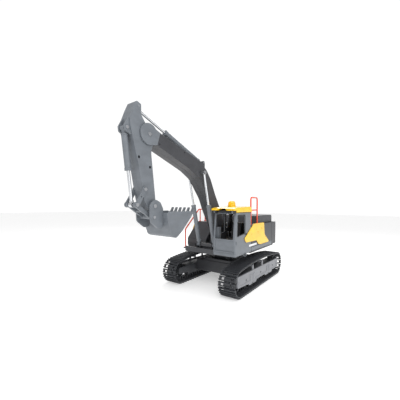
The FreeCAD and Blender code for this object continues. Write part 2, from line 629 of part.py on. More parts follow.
def cab():
    """Shell with its windows, and everything that is fitted to it."""
    low, high = CAB_Y
    solid = prism(CAB_SIDE, low, high)
    corners = [edge for edge in solid.Edges
               if edge.BoundBox.YLength < 0.01 and edge.BoundBox.XMin > CAB_FRONT - 7
               and edge.BoundBox.ZLength > 8]
    shell = solid.makeFillet(2.6, corners)
    shell = shell.cut(prism([(high - 1.6, CAB_LOW - 1), (high - 1.6, CAB_LOW), (high, CAB_LOW + 1.6),
                             (high + 1, CAB_LOW + 1.6), (high + 1, CAB_LOW - 1)],
                            CAB_REAR - 1, CAB_FRONT + 1, "yz"))
    shell = shell.cut(prism(CAB_SIDE, low + WALL, high - WALL, inset=WALL))
    shell = shell.cut(box(CAB_REAR + 6, CAB_FRONT - 9, low + WALL, high - WALL,
                          CAB_TOP - 6, CAB_TOP + 1))
    shell = shell.cut(box(CAB_FRONT - 0.7, CAB_FRONT + 1, low + 6, high - 6, 101.5, 124))
    rear, front, inner, top = COLUMN
    ledge = box(CAB_FRONT - 0.2, CAB_FRONT + 1.8, low + 3, high - 3, 97.5, 100)
    column = box(rear, front, low + WALL - 0.5, inner, FLOOR_Z[1] + 0.1, top)
    eye_x, eye_y, eye_z = RING_EYE
    eye = cyl_x(eye_y, eye_z, 4.6, eye_x - 1.1, eye_x + 1.1)
    eye = eye.cut(cyl_x(eye_y + 0.6, eye_z - 0.6, 2.6, eye_x - 2, eye_x + 2))
    shell = shell.fuse(eye)
    shell = shell.cut(prism(SIDE_WINDOW, low - 1, high + 1))
    shell = shell.cut(prism(QUARTER_WINDOW, low - 1, low + WALL + 1))
    shell = shell.cut(prism(FRONT_WINDOW, CAB_FRONT - 16, CAB_FRONT + 2, "yz"))
    shell = shell.cut(prism(REAR_WINDOW, CAB_REAR - 1, CAB_REAR + 8, "yz"))
    nodes = {"cab_shell": [fuse([shell, ledge, column])]}
    nodes.update(cab_inside())
    nodes.update(cab_roof())
    return nodes


def cab_inside():
    """Floor and lining in one tub, the seat, and the console with its three levers."""
    base = FLOOR_Z[1]
    low, high = CAB_Y
    gap = WALL + 0.1
    floor = box(CAB_REAR + 3.2, CAB_FRONT - 2.6, low + gap, high - gap, *FLOOR_Z)
    lining = prism(CAB_SIDE, low + gap, high - gap, inset=gap)
    lining = lining.cut(prism(CAB_SIDE, low + gap + LINER, high, inset=gap + LINER))
    lining = lining.common(box(CAB_REAR, COLUMN[0] - 2, low, high, FLOOR_Z[0], CAB_TOP - 6.5))
    tub = fuse([floor, lining])
    tub = tub.cut(prism(SIDE_WINDOW, low, low + 6))
    tub = tub.cut(prism(QUARTER_WINDOW, low, low + 6))
    tub = tub.cut(prism(REAR_WINDOW, CAB_REAR, CAB_REAR + 9, "yz"))
    cushion = prism([(72, base), (72, 124, 2), (96, 126, 3), (96, base)], 50, 76)
    back = prism([(66, base + 3, 2), (60, 160, 3), (66.5, 160.8, 3), (74, 124, 2)], 51, 75)
    pieces = [prism([(98, base), (98, 126.5, 2), (109, 126.5), (118, 124, 2), (118, base)], 58, 84)]
    for y in (62.0, 70.0, 78.0):
        pieces.append(bar((105, y, 125.4), (107, y, 140), 1.0))
        pieces.append(Part.makeSphere(2.2, V(107.2, y, 140.8)))
    return {"cab_floor": [tub], "driver_seat": [fuse([cushion, back])], "console": [fuse(pieces)]}


def cab_roof():
    """Roof cap with the beacon's base, the lamp bar under its front edge, the beacon's lens."""
    side = [(CAB_REAR - 1, ROOF_LOW), (CAB_REAR + 6, ROOF_TOP, 6), (CAB_FRONT - 4, 198.4, 6),
            (ROOF_NOSE, 195.8, 2), (ROOF_NOSE, NOSE_LOW), (CAB_FRONT - 4, NOSE_LOW),
            (CAB_FRONT - 5.4, ROOF_LOW)]
    roof = prism(side, CAB_Y[0] - 0.6, CAB_Y[1] + 1.6)
    roof = roof.cut(prism(VISOR, VISOR_REAR, ROOF_NOSE + 2, "yz"))
    roof = roof.cut(box(CAB_REAR + 6, VISOR_REAR - 2, CAB_Y[0] + 3, CAB_Y[1] - 3,
                        ROOF_LOW - 1, ROOF_TOP - 4.5))
    roof = roof.fuse(cyl_z(*BEACON_AT, BEACON_RADIUS + 1.2, ROOF_TOP - 3, BEACON_Z[0] - 0.1))
    lens = cyl_z(*BEACON_AT, BEACON_RADIUS, *BEACON_Z)
    top = [edge for edge in lens.Edges if edge.BoundBox.ZMin > BEACON_Z[1] - 0.1]
    lens = lens.makeFillet(5.0, top)
    return {"cab_roof": [roof.removeSplitter()], "roof_lamps": [lamp_bar()], "beacon_lens": [lens]}


def lamp_bar():
    """Dark bar under the roof's nose: two lamp boxes and the slatted visor between them."""
    low = ROOF_LOW + 0.1
    top = NOSE_LOW - 0.1
    ends = (LAMP_Y[0], LAMP_Y[1] + LAMP_WIDTH)
    bar_front = CAB_FRONT - 0.5
    pieces = [
        box(CAB_FRONT - 3.8, bar_front, *ends, low, top),
        box(VISOR_REAR + 0.2, bar_front, VISOR[0][0] + 1, VISOR[-1][0] - 1, low, low + 1.4),
        prism([(50, low), (50, 188.6), (56, 195.8), (70, 195.8), (76, 188.6), (76, low)],
              VISOR_REAR + 0.2, VISOR_REAR + 2.2, "yz"),
    ]
    for z, half in ((190.2, 12.0), (192.6, 10.0), (195.0, 8.0)):
        pieces.append(box(VISOR_REAR + 2, VISOR_REAR + 3.6, 63 - half, 63 + half, z - 1.2, z))
    for y in LAMP_Y:
        pieces.append(box(bar_front - 1, ROOF_NOSE - 0.8, y, y + LAMP_WIDTH, LAMP_LOW, top))
    return fuse(pieces)


# ---------------------------------------------------------------- rails and steps
RAIL = 1.8


RAIL_Y = 85.0
STEP_TOP = 87.2


def rails():
    """Handrail on each housing and the step in front of the right one."""
    y = RAIL_Y
    left = pipe([(32, y, HOUSING_TOP), (32, y, 224), (-9, y, 224), (-9, y, HOUSING_TOP)], RAIL, 6)
    left = left.fuse(bar((32, y, 191.5), (-9, y, 191.5), RAIL - 0.2))
    right = pipe([(84.5, -y, STEP_TOP), (86, -y, 136.5), (24, -y, 191), (-9, -y, 191),
                  (-9, -y, HOUSING_TOP)], RAIL, 8)
    right = right.fuse(bar((17, -y, 191), (17, -y, HOUSING_TOP), RAIL - 0.2))
    rear = RIGHT_FRONT + 0.1
    step = fuse([
        box(rear, 90, -88.5, -64, STEP_TOP - 3.2, STEP_TOP),
        box(rear, rear + 2.4, -88.5, -64, STEP_TOP - 3.2, 96),
    ])
    return {"handrail_left": [left], "handrail_right": [right], "step_right": [step]}


# ---------------------------------------------------------------- boom
BOOM_OUTLINE = [
    (292, 313, 1), (242.6, 296.8, 60), (189.9, 279.4, 60), (157.6, 262.6, 20), (118.8, 218.1, 60),
    (104, 190, 60), (57, 121, 4), (53, 108, 9), (35, 108, 9), (30.5, 121, 14), (70.5, 197.8, 60),
    (92.2, 229.7, 60), (113, 266.1, 40), (129.7, 285.5, 20), (155.8, 304.6, 14), (219.5, 320, 60),
    (284.6, 337.2, 1),
]
BOOM_SCREWS = ((60.0, 150.0), (88.0, 196.0), (128.0, 262.0), (205.0, 300.0), (272.0, 320.0))
LOCATING_HOLES = ((213.8, 314.0), (286.0, 315.5))
BOOM_PIN = SMALL_PIN
LUG_Y = (9.0, 12.0)          # arm cylinder lugs on the boom's back
TROUGH_RADIUS = 8.2          # groove that lets the arm barrel lie between the lugs


def boom():
    """Two moulded halves screwed together, the forked tip and the boom's pins."""
    px, pz = ARM_CYL_BASE
    outer = prism(BOOM_OUTLINE, 0, BOOM_HALF)
    cavity = prism(BOOM_OUTLINE, -1, BOOM_HALF - WALL, inset=WALL)
    keep = [cyl_y(BOOM_FOOT, 8, -1, BOOM_HALF), cyl_y(BOOM_CYL_TOP, 5, -1, BOOM_HALF)]
    keep += [cyl_y(p, SCREW_BOSS, -1, BOOM_HALF) for p in BOOM_SCREWS]
    half = outer.cut(cavity.cut(keep[0].multiFuse(keep[1:])))
    half = half.cut(bar((px - 8, 0, pz - 3.4), (px + 85, 0, pz + 28.4), TROUGH_RADIUS))
    lug = [(px - 4, 283), (px - 4, pz + 3.8, 3.6), (px + 4, pz + 3.8, 3.6), (px + 12, 298)]
    half = fuse([half, prism(lug, *LUG_Y)])
    bores = ((BOOM_FOOT, FOOT_PIN + RUN), (BOOM_CYL_TOP, BOOM_PIN), (ARM_CYL_BASE, SMALL_PIN))
    for point, radius in bores:
        half = half.cut(cyl_y(point, radius, -1, BOOM_HALF + 1))
    left = half
    for point in LOCATING_HOLES:
        left = left.cut(cyl_y(point, 1.7, BOOM_HALF - 1.4, BOOM_HALF + 1))
    right = mirrored(half)
    screws = []
    pocket = -BOOM_HALF + 4
    for point in BOOM_SCREWS:
        right = right.cut(cyl_y(point, HEAD_POCKET, -BOOM_HALF - 1, pocket))
        right = right.cut(cyl_y(point, SCREW_RADIUS, -BOOM_HALF, 1))
        left = left.cut(cyl_y(point, SCREW_RADIUS, -1, 9))
        screws.append(screw_y(point, BOOM_HALF, pocket - SCREW_HEAD_HEIGHT, 20))
    nodes = {"boom_half_left": [left], "boom_half_right": [right], "boom_screws": screws}
    nodes.update(boom_fittings())
    return nodes


TIP_INNER = STICK_HALF + CLEAR
TIP_RADIUS = 19.5
TIP_REAR = ((292.1, 313.0), (284.7, 337.3))   # low and high end of the joint with the boom


def boom_fittings():
    """Boom tip fork and the boom's own pins."""
    x, z = STICK_PIVOT
    low, high = TIP_REAR
    arm = [(*low, 1), (x - 4, z - 19.2, 8), (x + 2, z), (x + 2, z + 19, 6), (*high, 1)]
    cheek = fuse([prism(arm, TIP_INNER, BOOM_HALF),
                  cyl_y(STICK_PIVOT, TIP_RADIUS, TIP_INNER, BOOM_HALF)])
    cheek = cheek.cut(cyl_y(STICK_PIVOT, MAIN_PIN, 0, 20))
    web = prism([(low[0] - 0.6, low[1] + 2), (low[0] + 3, low[1] + 2.5), (high[0] + 4.5, high[1] - 1.8),
                 (high[0] + 1.0, high[1] - 2.8)], -TIP_INNER, TIP_INNER)
    return {
        "boom_tip": [fuse([cheek, mirrored(cheek), web])],
        "boom_foot_pin": [headed_pin(BOOM_FOOT, FOOT_PIN, 20.6, 4.6, 1.6)],
        "boom_pins": [
            headed_pin(STICK_PIVOT, MAIN_PIN, BOOM_HALF, 3.4, 1.4),
            headed_pin(BOOM_CYL_TOP, BOOM_PIN, 26.4, 3.4, 1.4),
            headed_pin(ARM_CYL_BASE, SMALL_PIN, LUG_Y[1], 2.6, 0.8),
        ],
    }


# ---------------------------------------------------------------- hydraulic cylinders
BARREL_NECK = 9.0            # from a barrel's eye to its full width


def cylinder(start, gland, finish, rod_length, barrel_radius, rod_radius, y, eye, bottom):
    """Barrel and rod of one cylinder, from the barrel's eye at start to the rod's eye at finish.

    gland is the barrel's length, rod_length the rod's, bottom the depth at which the bore ends,
    eye the radii of the barrel's and the rod's eye, then the half widths of the two."""
    way = V(finish[0] - start[0], 0, finish[1] - start[1])
    way.normalize()
    base = V(start[0], y, start[1])
    end = V(finish[0], y, finish[1])

    def on_axis(origin, distance):
        point = origin + way * distance
        return (point.x, point.y, point.z)

    neck = min(eye[0], eye[2]) - 0.4
    barrel = fuse([
        cyl_y(start, eye[0], y - eye[2], y + eye[2]),
        bar(on_axis(base, 2), on_axis(base, BARREL_NECK + 1), neck),
        bar(on_axis(base, BARREL_NECK), on_axis(base, gland), barrel_radius),
        bar(on_axis(base, gland - 5), on_axis(base, gland), barrel_radius + 0.6),
        bar(on_axis(base, BARREL_NECK), on_axis(base, BARREL_NECK + 2.5), barrel_radius + 0.5),
    ])
    barrel = barrel.cut(bar(on_axis(base, bottom), on_axis(base, gland + 1), rod_radius + RUN))
    rod = fuse([
        bar(on_axis(end, -rod_length), on_axis(end, -1), rod_radius),
        cyl_y(finish, eye[1], y - eye[3], y + eye[3]),
        bar(on_axis(end, -eye[1] - 3), on_axis(end, -1), min(rod_radius + 1.0, eye[3])),
    ])
    return barrel, rod


def cylinders():
    """Two boom cylinders, the arm cylinder and the bucket cylinder, a barrel and a rod each."""
    nodes = {}
    barrel, rod = cylinder(BOOM_CYL_BASE, 103, BOOM_CYL_TOP, 124, 5.2, 2.6, BOOM_CYL_Y,
                           (5.4, 4.6, 3.6, 3.0), 12)
    rod = rod.cut(cyl_y(BOOM_CYL_TOP, BOOM_PIN + RUN, 0, 40))
    nodes["boom_barrel_left"] = [barrel]
    nodes["boom_barrel_right"] = [mirrored(barrel)]
    nodes["boom_rod_left"] = [rod]
    nodes["boom_rod_right"] = [mirrored(rod)]
    barrel, rod = cylinder(ARM_CYL_BASE, 128, ARM_CYL_TOP, 120, 5.6, 2.8, 0, (4.2, 4.0, 4.6, 4.2), 8)
    nodes["arm_barrel"] = [barrel.cut(cyl_y(ARM_CYL_BASE, SMALL_PIN + RUN, -20, 20))]
    nodes["arm_rod"] = [rod]
    barrel, rod = cylinder(BUCKET_CYL_HEAD, 71, LINK_PIVOT, 90, 5.4, 2.8, 0, (4.6, 4.6, 4.8, 4.2), 6)
    nodes["bucket_barrel"] = [barrel]
    nodes["bucket_rod"] = [rod.cut(cyl_y(LINK_PIVOT, SMALL_PIN + RUN, -20, 20))]
    return nodes


# ---------------------------------------------------------------- stick
STICK_OUTLINE = [
    (327.5, 377.6, 2), (337.6, 381, 2.5), (344.8, 364.7, 30), (351, 348, 6), (349, 333, 20),
    (344.7, 319, 40), (331, 271, 60), (321.5, 229, 60), (317, 210, 8), (306, 191.4, 9), (293, 191.4, 9),
    (290.4, 206, 10), (303.4, 300, 30), (296, 320, 12), (299, 338, 12), (317, 347, 12),
    (327, 359.5, 8),
]
STICK_HOLLOW = [
    (343, 340, 3), (341.5, 320, 10), (327, 268, 20), (318.6, 231, 20), (311, 216, 3),
    (296, 216, 3), (307.4, 298, 10), (302, 322, 6), (310, 340, 6),
]
STICK_FORK = [(320, 361.5), (342.2, 361.5), (342.8, 363.8), (331.2, 390), (312, 390), (312, 352)]
STICK_SCREWS = ((330.3, 285.4), (305.1, 270.9))
FORK_HALF = 5.6              # half the slot that takes the arm cylinder's rod eye
HEAD_LUG_Y = (6.0, 9.6)      # lugs for the bucket cylinder's upper end
EAR_Y = (16.6, 20.0)         # bucket ears, outside the stick
ROCKER_Y = (STICK_HALF + CLEAR, STICK_HALF + 3.0)


def stick():
    """Two moulded halves screwed together, with the stick's pins."""
    outer = prism(STICK_OUTLINE, 0, STICK_HALF)
    cavity = prism(STICK_HOLLOW, -1, STICK_HALF - WALL)
    keep = [cyl_y(STICK_PIVOT, 6.5, -1, STICK_HALF), cyl_y(ROCKER_PIVOT, 4.5, -1, STICK_HALF)]
    keep += [cyl_y(p, SCREW_BOSS, -1, STICK_HALF) for p in STICK_SCREWS]
    half = outer.cut(cavity.cut(keep[0].multiFuse(keep[1:])))
    half = half.cut(prism(STICK_FORK, -1, FORK_HALF))
    half = half.fuse(cyl_y(BUCKET_PIVOT, 7.0, STICK_HALF - 1, EAR_Y[0] - CLEAR))
    half = half.fuse(stick_lug())
    bores = ((STICK_PIVOT, MAIN_PIN + RUN), (ROCKER_PIVOT, SMALL_PIN), (BUCKET_PIVOT, MAIN_PIN + RUN),
             (BUCKET_CYL_HEAD, STUB_PIN), (ARM_CYL_TOP, STUB_PIN))
    for point, radius in bores:
        half = half.cut(cyl_y(point, radius, -1, 30))
    left = half
    right = mirrored(half)
    screws = []
    pocket = STICK_HALF - 3
    for point in STICK_SCREWS:
        left = left.cut(cyl_y(point, HEAD_POCKET, pocket, STICK_HALF + 1))
        left = left.cut(cyl_y(point, SCREW_RADIUS, -1, STICK_HALF))
        right = right.cut(cyl_y(point, SCREW_RADIUS, -8, 1))
        screws.append(screw_y(point, -STICK_HALF, pocket + SCREW_HEAD_HEIGHT, 16))
    pins = [headed_pin(ROCKER_PIVOT, SMALL_PIN, ROCKER_Y[1] + 0.2, 3.2, 1.2)]
    pins += both_sides(headed_stub(BUCKET_CYL_HEAD, STUB_PIN, *HEAD_LUG_Y, 2.8, 1.4))
    pins += both_sides(cyl_y(ARM_CYL_TOP, STUB_PIN, FORK_HALF + 0.4, STICK_HALF))
    return {"stick_half_left": [left], "stick_half_right": [right], "stick_screws": screws,
            "stick_pins": pins}


def stick_lug():
    """Left lug on the stick's front that carries the bucket cylinder's upper end."""
    hx, hz = BUCKET_CYL_HEAD
    outline = [(340, 345.5), (351, 350, 3), (hx + 5.5, hz + 3, 4), (hx + 4, hz - 6, 4), (340, 318)]
    return prism(outline, *HEAD_LUG_Y)


# ---------------------------------------------------------------- bucket and its linkage
BUCKET_OUTER = [
    (281, 188.5, 2), (281, 180, 8), (275.6, 160, 10), (269, 144, 10), (256, 139.6, 9),
    (239, 151.6, 12), (210, 179.6, 12), (203.6, 189.5, 1),
]
BUCKET_INNER = [
    (278.2, 200), (278.2, 180.4, 6), (273, 161, 8), (266.8, 146.2, 8), (256.4, 142.6, 7),
    (240.8, 153.4, 10), (212, 181.2, 10), (206.4, 190, 1), (204, 200),
]
BUCKET_EAR = [
    (279, 161, 2), (292, 160, 6), (309, 172, 8), (311, 190, 10), (311.5, 203, 10),
    (300, 214, 10), (286, 208, 8), (279, 196, 4),
]
BUCKET_WALL = 2.4
TOOTH_NUMBER = 6
TOOTH_WIDTH = 5.4
EDGE_OVER = 0.6              # how far the side cutting edges stand proud


def bucket():
    """Shell with side edges, teeth and ears, and the pins that hold it."""
    inside = BUCKET_HALF - BUCKET_WALL
    shell = prism(BUCKET_OUTER, -BUCKET_HALF, BUCKET_HALF).cut(prism(BUCKET_INNER, -inside, inside))
    side_edge = prism([(279, 186.6), (279, 190.6), (212, 190.8), (209, 186.6)],
                      inside, BUCKET_HALF + EDGE_OVER)
    pieces = [shell] + both_sides(side_edge)
    tooth = [(209.4, 184.5), (200.2, 198.6, 0.6), (198.6, 197.8, 0.6), (203.0, 186.5)]
    spacing = (BUCKET_WIDTH - TOOTH_WIDTH - 3) / (TOOTH_NUMBER - 1)
    for i in range(TOOTH_NUMBER):
        y = (i - (TOOTH_NUMBER - 1) / 2) * spacing
        pieces.append(prism(tooth, y - TOOTH_WIDTH / 2, y + TOOTH_WIDTH / 2))
    ear = prism(BUCKET_EAR, *EAR_Y).cut(prism(BUCKET_OUTER, -BUCKET_HALF, BUCKET_HALF))
    whole = fuse(pieces + both_sides(ear))
    for point, radius in ((BUCKET_PIVOT, MAIN_PIN), (BUCKET_LINK, STUB_PIN)):
        whole = whole.cut(cyl_y(point, radius, -30, 30))
    pins = [headed_pin(BUCKET_PIVOT, MAIN_PIN, EAR_Y[1], 3.6, 1.4)]
    pins += both_sides(headed_stub(BUCKET_LINK, STUB_PIN, EAR_Y[0] + 0.2, EAR_Y[1], 2.8, 1.2))
    return {"bucket_shell": [whole], "bucket_pins": pins}


HLINK_Y = (7.6, 11.6)


def strap(start, finish, half_width, low, high):
    """Flat bar between two pivots of the XZ plane, square at its ends."""
    a = V(start[0], start[1], 0)
    b = V(finish[0], finish[1], 0)
    way = b - a
    way.normalize()
    across = V(-way.y, way.x, 0) * half_width
    corners = [a + across, b + across, b - across, a - across]
    return prism([(corner.x, corner.y) for corner in corners], low, high)


def midpoint(start, finish):
    return ((start[0] + finish[0]) / 2, (start[1] + finish[1]) / 2)


def linkage():
    """Rocker plates with the pin between them, and the H-shaped link to the bucket."""
    plate = fuse([strap(ROCKER_PIVOT, LINK_PIVOT, 4.2, *ROCKER_Y),
                  cyl_y(ROCKER_PIVOT, 5.4, *ROCKER_Y), cyl_y(LINK_PIVOT, 5.0, *ROCKER_Y)])
    plate = plate.cut(cyl_y(ROCKER_PIVOT, SMALL_PIN + RUN, 0, 30))
    plate = plate.cut(cyl_y(LINK_PIVOT, SMALL_PIN, 0, 30))
    plate = plate.cut(cyl_y(midpoint(ROCKER_PIVOT, LINK_PIVOT), 1.5, 0, 30))
    side = fuse([strap(LINK_PIVOT, BUCKET_LINK, 3.4, *HLINK_Y), cyl_y(LINK_PIVOT, 4.6, *HLINK_Y)])
    side = side.cut(cyl_y(LINK_PIVOT, SMALL_PIN + RUN, 0, 30))
    reach = EAR_Y[0] - CLEAR
    link = fuse([side, mirrored(side), cyl_y(midpoint(LINK_PIVOT, BUCKET_LINK), 2.6, -8, 8),
                 cyl_y(BUCKET_LINK, 4.4, -reach, reach)])
    return {"rocker_plates": both_sides(plate),
            "link_pin": [headed_pin(LINK_PIVOT, SMALL_PIN, ROCKER_Y[1], 3.2, 1.2)],
            "h_link": [link]}


# ---------------------------------------------------------------- whole machine
def machine():
    """Every node's solids, in the machine's frame."""
    nodes = {}
    for make in (undercarriage, chassis, upper_housings, hood_and_weight, side_panels, cab, rails,
                 boom, cylinders, stick, bucket, linkage):
        nodes.update(make())
    return nodes


def main():
    os.makedirs("parts", exist_ok=True)
    for name, solids in machine().items():
        shape = solids[0] if len(solids) == 1 else Part.makeCompound(solids)
        shape.translate(V(-ORIGIN_X, 0, 0))
        shape.exportStep("parts/" + name + ".step")
        print(name, len(shape.Solids), "solids", round(shape.Volume), "mm3", shape.isValid())


if __name__ == "__main__":
    main()
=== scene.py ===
"""Looks of a hand-moved toy excavator: moulded plastics, plated rods, small fitted details.

Lengths are in millimetres of the machine's own frame (slew axis at x = 0, y = 0, ground at
z = 0) until `Origin.at` turns them into the frame's metres.
"""
import json
import logging
import math
from dataclasses import dataclass
from enum import Enum

import bmesh
import bpy
from mathutils import Matrix, Vector

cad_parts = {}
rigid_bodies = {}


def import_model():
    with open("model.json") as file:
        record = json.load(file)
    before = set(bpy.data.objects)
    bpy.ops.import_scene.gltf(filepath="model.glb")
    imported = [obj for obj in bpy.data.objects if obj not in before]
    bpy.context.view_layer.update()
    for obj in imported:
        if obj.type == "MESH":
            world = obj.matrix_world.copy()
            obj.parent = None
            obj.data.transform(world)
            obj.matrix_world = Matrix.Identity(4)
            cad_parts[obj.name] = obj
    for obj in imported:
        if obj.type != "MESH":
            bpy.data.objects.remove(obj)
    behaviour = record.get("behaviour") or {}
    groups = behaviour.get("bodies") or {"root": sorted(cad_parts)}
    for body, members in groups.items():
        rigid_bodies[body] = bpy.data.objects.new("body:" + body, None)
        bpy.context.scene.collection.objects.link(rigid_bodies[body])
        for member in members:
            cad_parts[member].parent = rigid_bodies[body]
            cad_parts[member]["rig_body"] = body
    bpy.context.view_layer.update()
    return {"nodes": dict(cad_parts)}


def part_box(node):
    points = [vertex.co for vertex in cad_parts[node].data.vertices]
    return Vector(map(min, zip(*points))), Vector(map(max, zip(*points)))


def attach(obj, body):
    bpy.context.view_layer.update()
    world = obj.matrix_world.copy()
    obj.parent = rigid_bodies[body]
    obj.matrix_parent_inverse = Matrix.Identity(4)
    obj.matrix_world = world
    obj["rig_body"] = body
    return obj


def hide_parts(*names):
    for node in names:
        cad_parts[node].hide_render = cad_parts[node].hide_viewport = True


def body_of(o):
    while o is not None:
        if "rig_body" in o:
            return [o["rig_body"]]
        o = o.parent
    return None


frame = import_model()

logging.basicConfig(level=logging.INFO, format="%(message)s")
LOG = logging.getLogger("toy_excavator")

MM = 0.001
Point = tuple[float, float, float]


class Slot(Enum):
    """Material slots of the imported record."""

    DARK_BODY = "dark_body"
    LIGHT_GREY = "light_grey"
    MID_GREY = "mid_grey"
    TRACK_BLACK = "track_black"
    YELLOW = "yellow"
    RAIL_ORANGE = "rail_orange"
    SILVER_ROD = "silver_rod"
    STEEL_PIN = "steel_pin"
    SCREW_DARK = "screw_dark"
    INTERIOR_DARK = "interior_dark"
    LENS_AMBER = "lens_amber"
    LABEL_WHITE = "label_white"


class Origin:
    """The slew axis, which every machine dimension is counted from."""

    def __init__(self) -> None:
        """Find the slew axis as the middle of the washer that rides on it."""
        low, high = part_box("slew_retainer")
        self.x = (low.x + high.x) / 2

    def at(self, x: float, y: float, z: float) -> Vector:
        """Turn machine millimetres into a point of the frame.

        Args:
            x: Distance ahead of the slew axis.
            y: Distance to the left of it.
            z: Height over the ground.

        Returns:
            The point in metres.
        """
        return Vector((self.x + x * MM, y * MM, z * MM))


ORIGIN = Origin()


# ------------------------------------------------------------------ shader building
class Value:
    """A number that varies over a surface, written with Python's operators."""

    def __init__(self, shader: "Shader", socket: bpy.types.NodeSocket) -> None:
        """Wrap a socket of a shader."""
        self.shader = shader
        self.socket = socket

    def _math(self, operation: str, first: object, second: object) -> "Value":
        """Add one Math node.

        Args:
            operation: The node's operation.
            first: First input, a Value or a number.
            second: Second input, a Value or a number.

        Returns:
            The node's result.
        """
        made = self.shader.node("ShaderNodeMath", {"operation": operation}, {0: first, 1: second})
        return Value(self.shader, made.outputs[0])

    def __add__(self, other: object) -> "Value":
        """Sum with another value or number."""
        return self._math("ADD", self, other)

    def __radd__(self, other: object) -> "Value":
        """Sum, reflected."""
        return self._math("ADD", other, self)

    def __sub__(self, other: object) -> "Value":
        """Difference with another value or number."""
        return self._math("SUBTRACT", self, other)

    def __rsub__(self, other: object) -> "Value":
        """Difference, reflected."""
        return self._math("SUBTRACT", other, self)

    def __mul__(self, other: object) -> "Value":
        """Product with another value or number."""
        return self._math("MULTIPLY", self, other)

    def __rmul__(self, other: object) -> "Value":
        """Product, reflected."""
        return self._math("MULTIPLY", other, self)

    def rise(self, low: float, high: float) -> "Value":
        """Smooth step.

        Args:
            low: Value at which the result is 0.
            high: Value at which the result is 1.

        Returns:
            The step's result, between 0 and 1.
        """
        made = self.shader.node(
            "ShaderNodeMapRange",
            {"interpolation_type": "SMOOTHSTEP"},
            {"Value": self, "From Min": low, "From Max": high},
        )
        return Value(self.shader, made.outputs["Result"])


class Shader:
    """A material with one Principled surface, and the nodes that vary it."""

    def __init__(self, name: str, settings: dict[str, object]) -> None:
        """Make the material.

        Args:
            name: The material's name.
            settings: Values set straight on the surface's own sockets.
        """
        self.material = bpy.data.materials.new(name)
        self.material.use_nodes = True
        self.tree = self.material.node_tree
        self.tree.nodes.clear()
        self.surface = self.node("ShaderNodeBsdfPrincipled", {}, settings)
        self.node("ShaderNodeOutputMaterial", {}, {"Surface": self.surface.outputs[0]})
        self.place = self.node("ShaderNodeTexCoord", {}, {}).outputs["Object"]

    def node(self, kind: str, settings: dict[str, object], inputs: dict[object, object]) -> bpy.types.Node:
        """Add a node.

        Args:
            kind: The node's type.
            settings: Properties set before anything is linked.
            inputs: A value, a socket or a Value for each named or numbered input.

        Returns:
            The node.
        """
        made = self.tree.nodes.new(kind)
        for key, value in settings.items():
            setattr(made, key, value)
        for key, value in inputs.items():
            socket = made.inputs[key]
            if isinstance(value, Value):
                self.tree.links.new(value.socket, socket)
            elif isinstance(value, bpy.types.NodeSocket):
                self.tree.links.new(value, socket)
            else:
                socket.default_value = value
        return made

    def noise(self, size: float, detail: float = 2.0, stretch: Point = (1.0, 1.0, 1.0)) -> Value:
        """Cloudy pattern.

        Args:
            size: Size of its blotches, in millimetres.
            detail: How many finer layers it carries.
            stretch: How much tighter it runs along each axis.

        Returns:
            The pattern, about 0.5 on average.
        """
        mapped = self.node("ShaderNodeMapping", {}, {"Vector": self.place, "Scale": stretch})
        made = self.node(
            "ShaderNodeTexNoise",
            {"noise_dimensions": "3D"},
            {"Vector": mapped.outputs[0], "Scale": 1.0 / (size * MM), "Detail": detail},
        )
        return Value(self, made.outputs[0])

    def cells(self, size: float) -> Value:
        """Distance to the nearest point of a scattered set, its spacing in millimetres."""
        made = self.node(
            "ShaderNodeTexVoronoi",
            {"voronoi_dimensions": "3D", "feature": "F1"},
            {"Vector": self.place, "Scale": 1.0 / (size * MM)},
        )
        return Value(self, made.outputs["Distance"])

    def colours(self, mask: Value, low: Point, high: Point) -> bpy.types.NodeSocket:
        """Blend two colours.

        Args:
            mask: 0 gives the first colour, 1 the second.
            low: First colour, linear red, green and blue.
            high: Second colour.

        Returns:
            The blended colour's socket.
        """
        made = self.node(
            "ShaderNodeMix", {"data_type": "RGBA"}, {0: mask, 6: (*low, 1.0), 7: (*high, 1.0)}
        )
        return made.outputs[2]

    def tint(self, mask: Value, base: bpy.types.NodeSocket, over: Point) -> bpy.types.NodeSocket:
        """Lay a colour over another where the mask is 1, and return the result's socket."""
        made = self.node("ShaderNodeMix", {"data_type": "RGBA"}, {0: mask, 6: base, 7: (*over, 1.0)})
        return made.outputs[2]

    def connect(self, name: str, what: object) -> None:
        """Link a value or a socket to one of the surface's inputs."""
        source = what.socket if isinstance(what, Value) else what
        self.tree.links.new(source, self.surface.inputs[name])

    def relief(self, height: Value, depth: float) -> None:
        """Bump the surface.

        Args:
            height: Height pattern, 0 to 1.
            depth: Depth of the pattern, in millimetres.
        """
        made = self.node(
            "ShaderNodeBump", {}, {"Height": height, "Distance": depth * MM, "Strength": 1.0}
        )
        self.connect("Normal", made.outputs[0])


def linear(code: str) -> Point:
    """Turn a hexadecimal display colour into linear red, green and blue."""
    parts = [int(code[i : i + 2], 16) / 255 for i in (0, 2, 4)]
    return tuple(c / 12.92 if c <= 0.04045 else ((c + 0.055) / 1.055) ** 2.4 for c in parts)


def shifted(colour: Point, factor: float) -> Point:
    """Scale a colour's brightness, at most to white."""
    return tuple(min(1.0, c * factor) for c in colour)


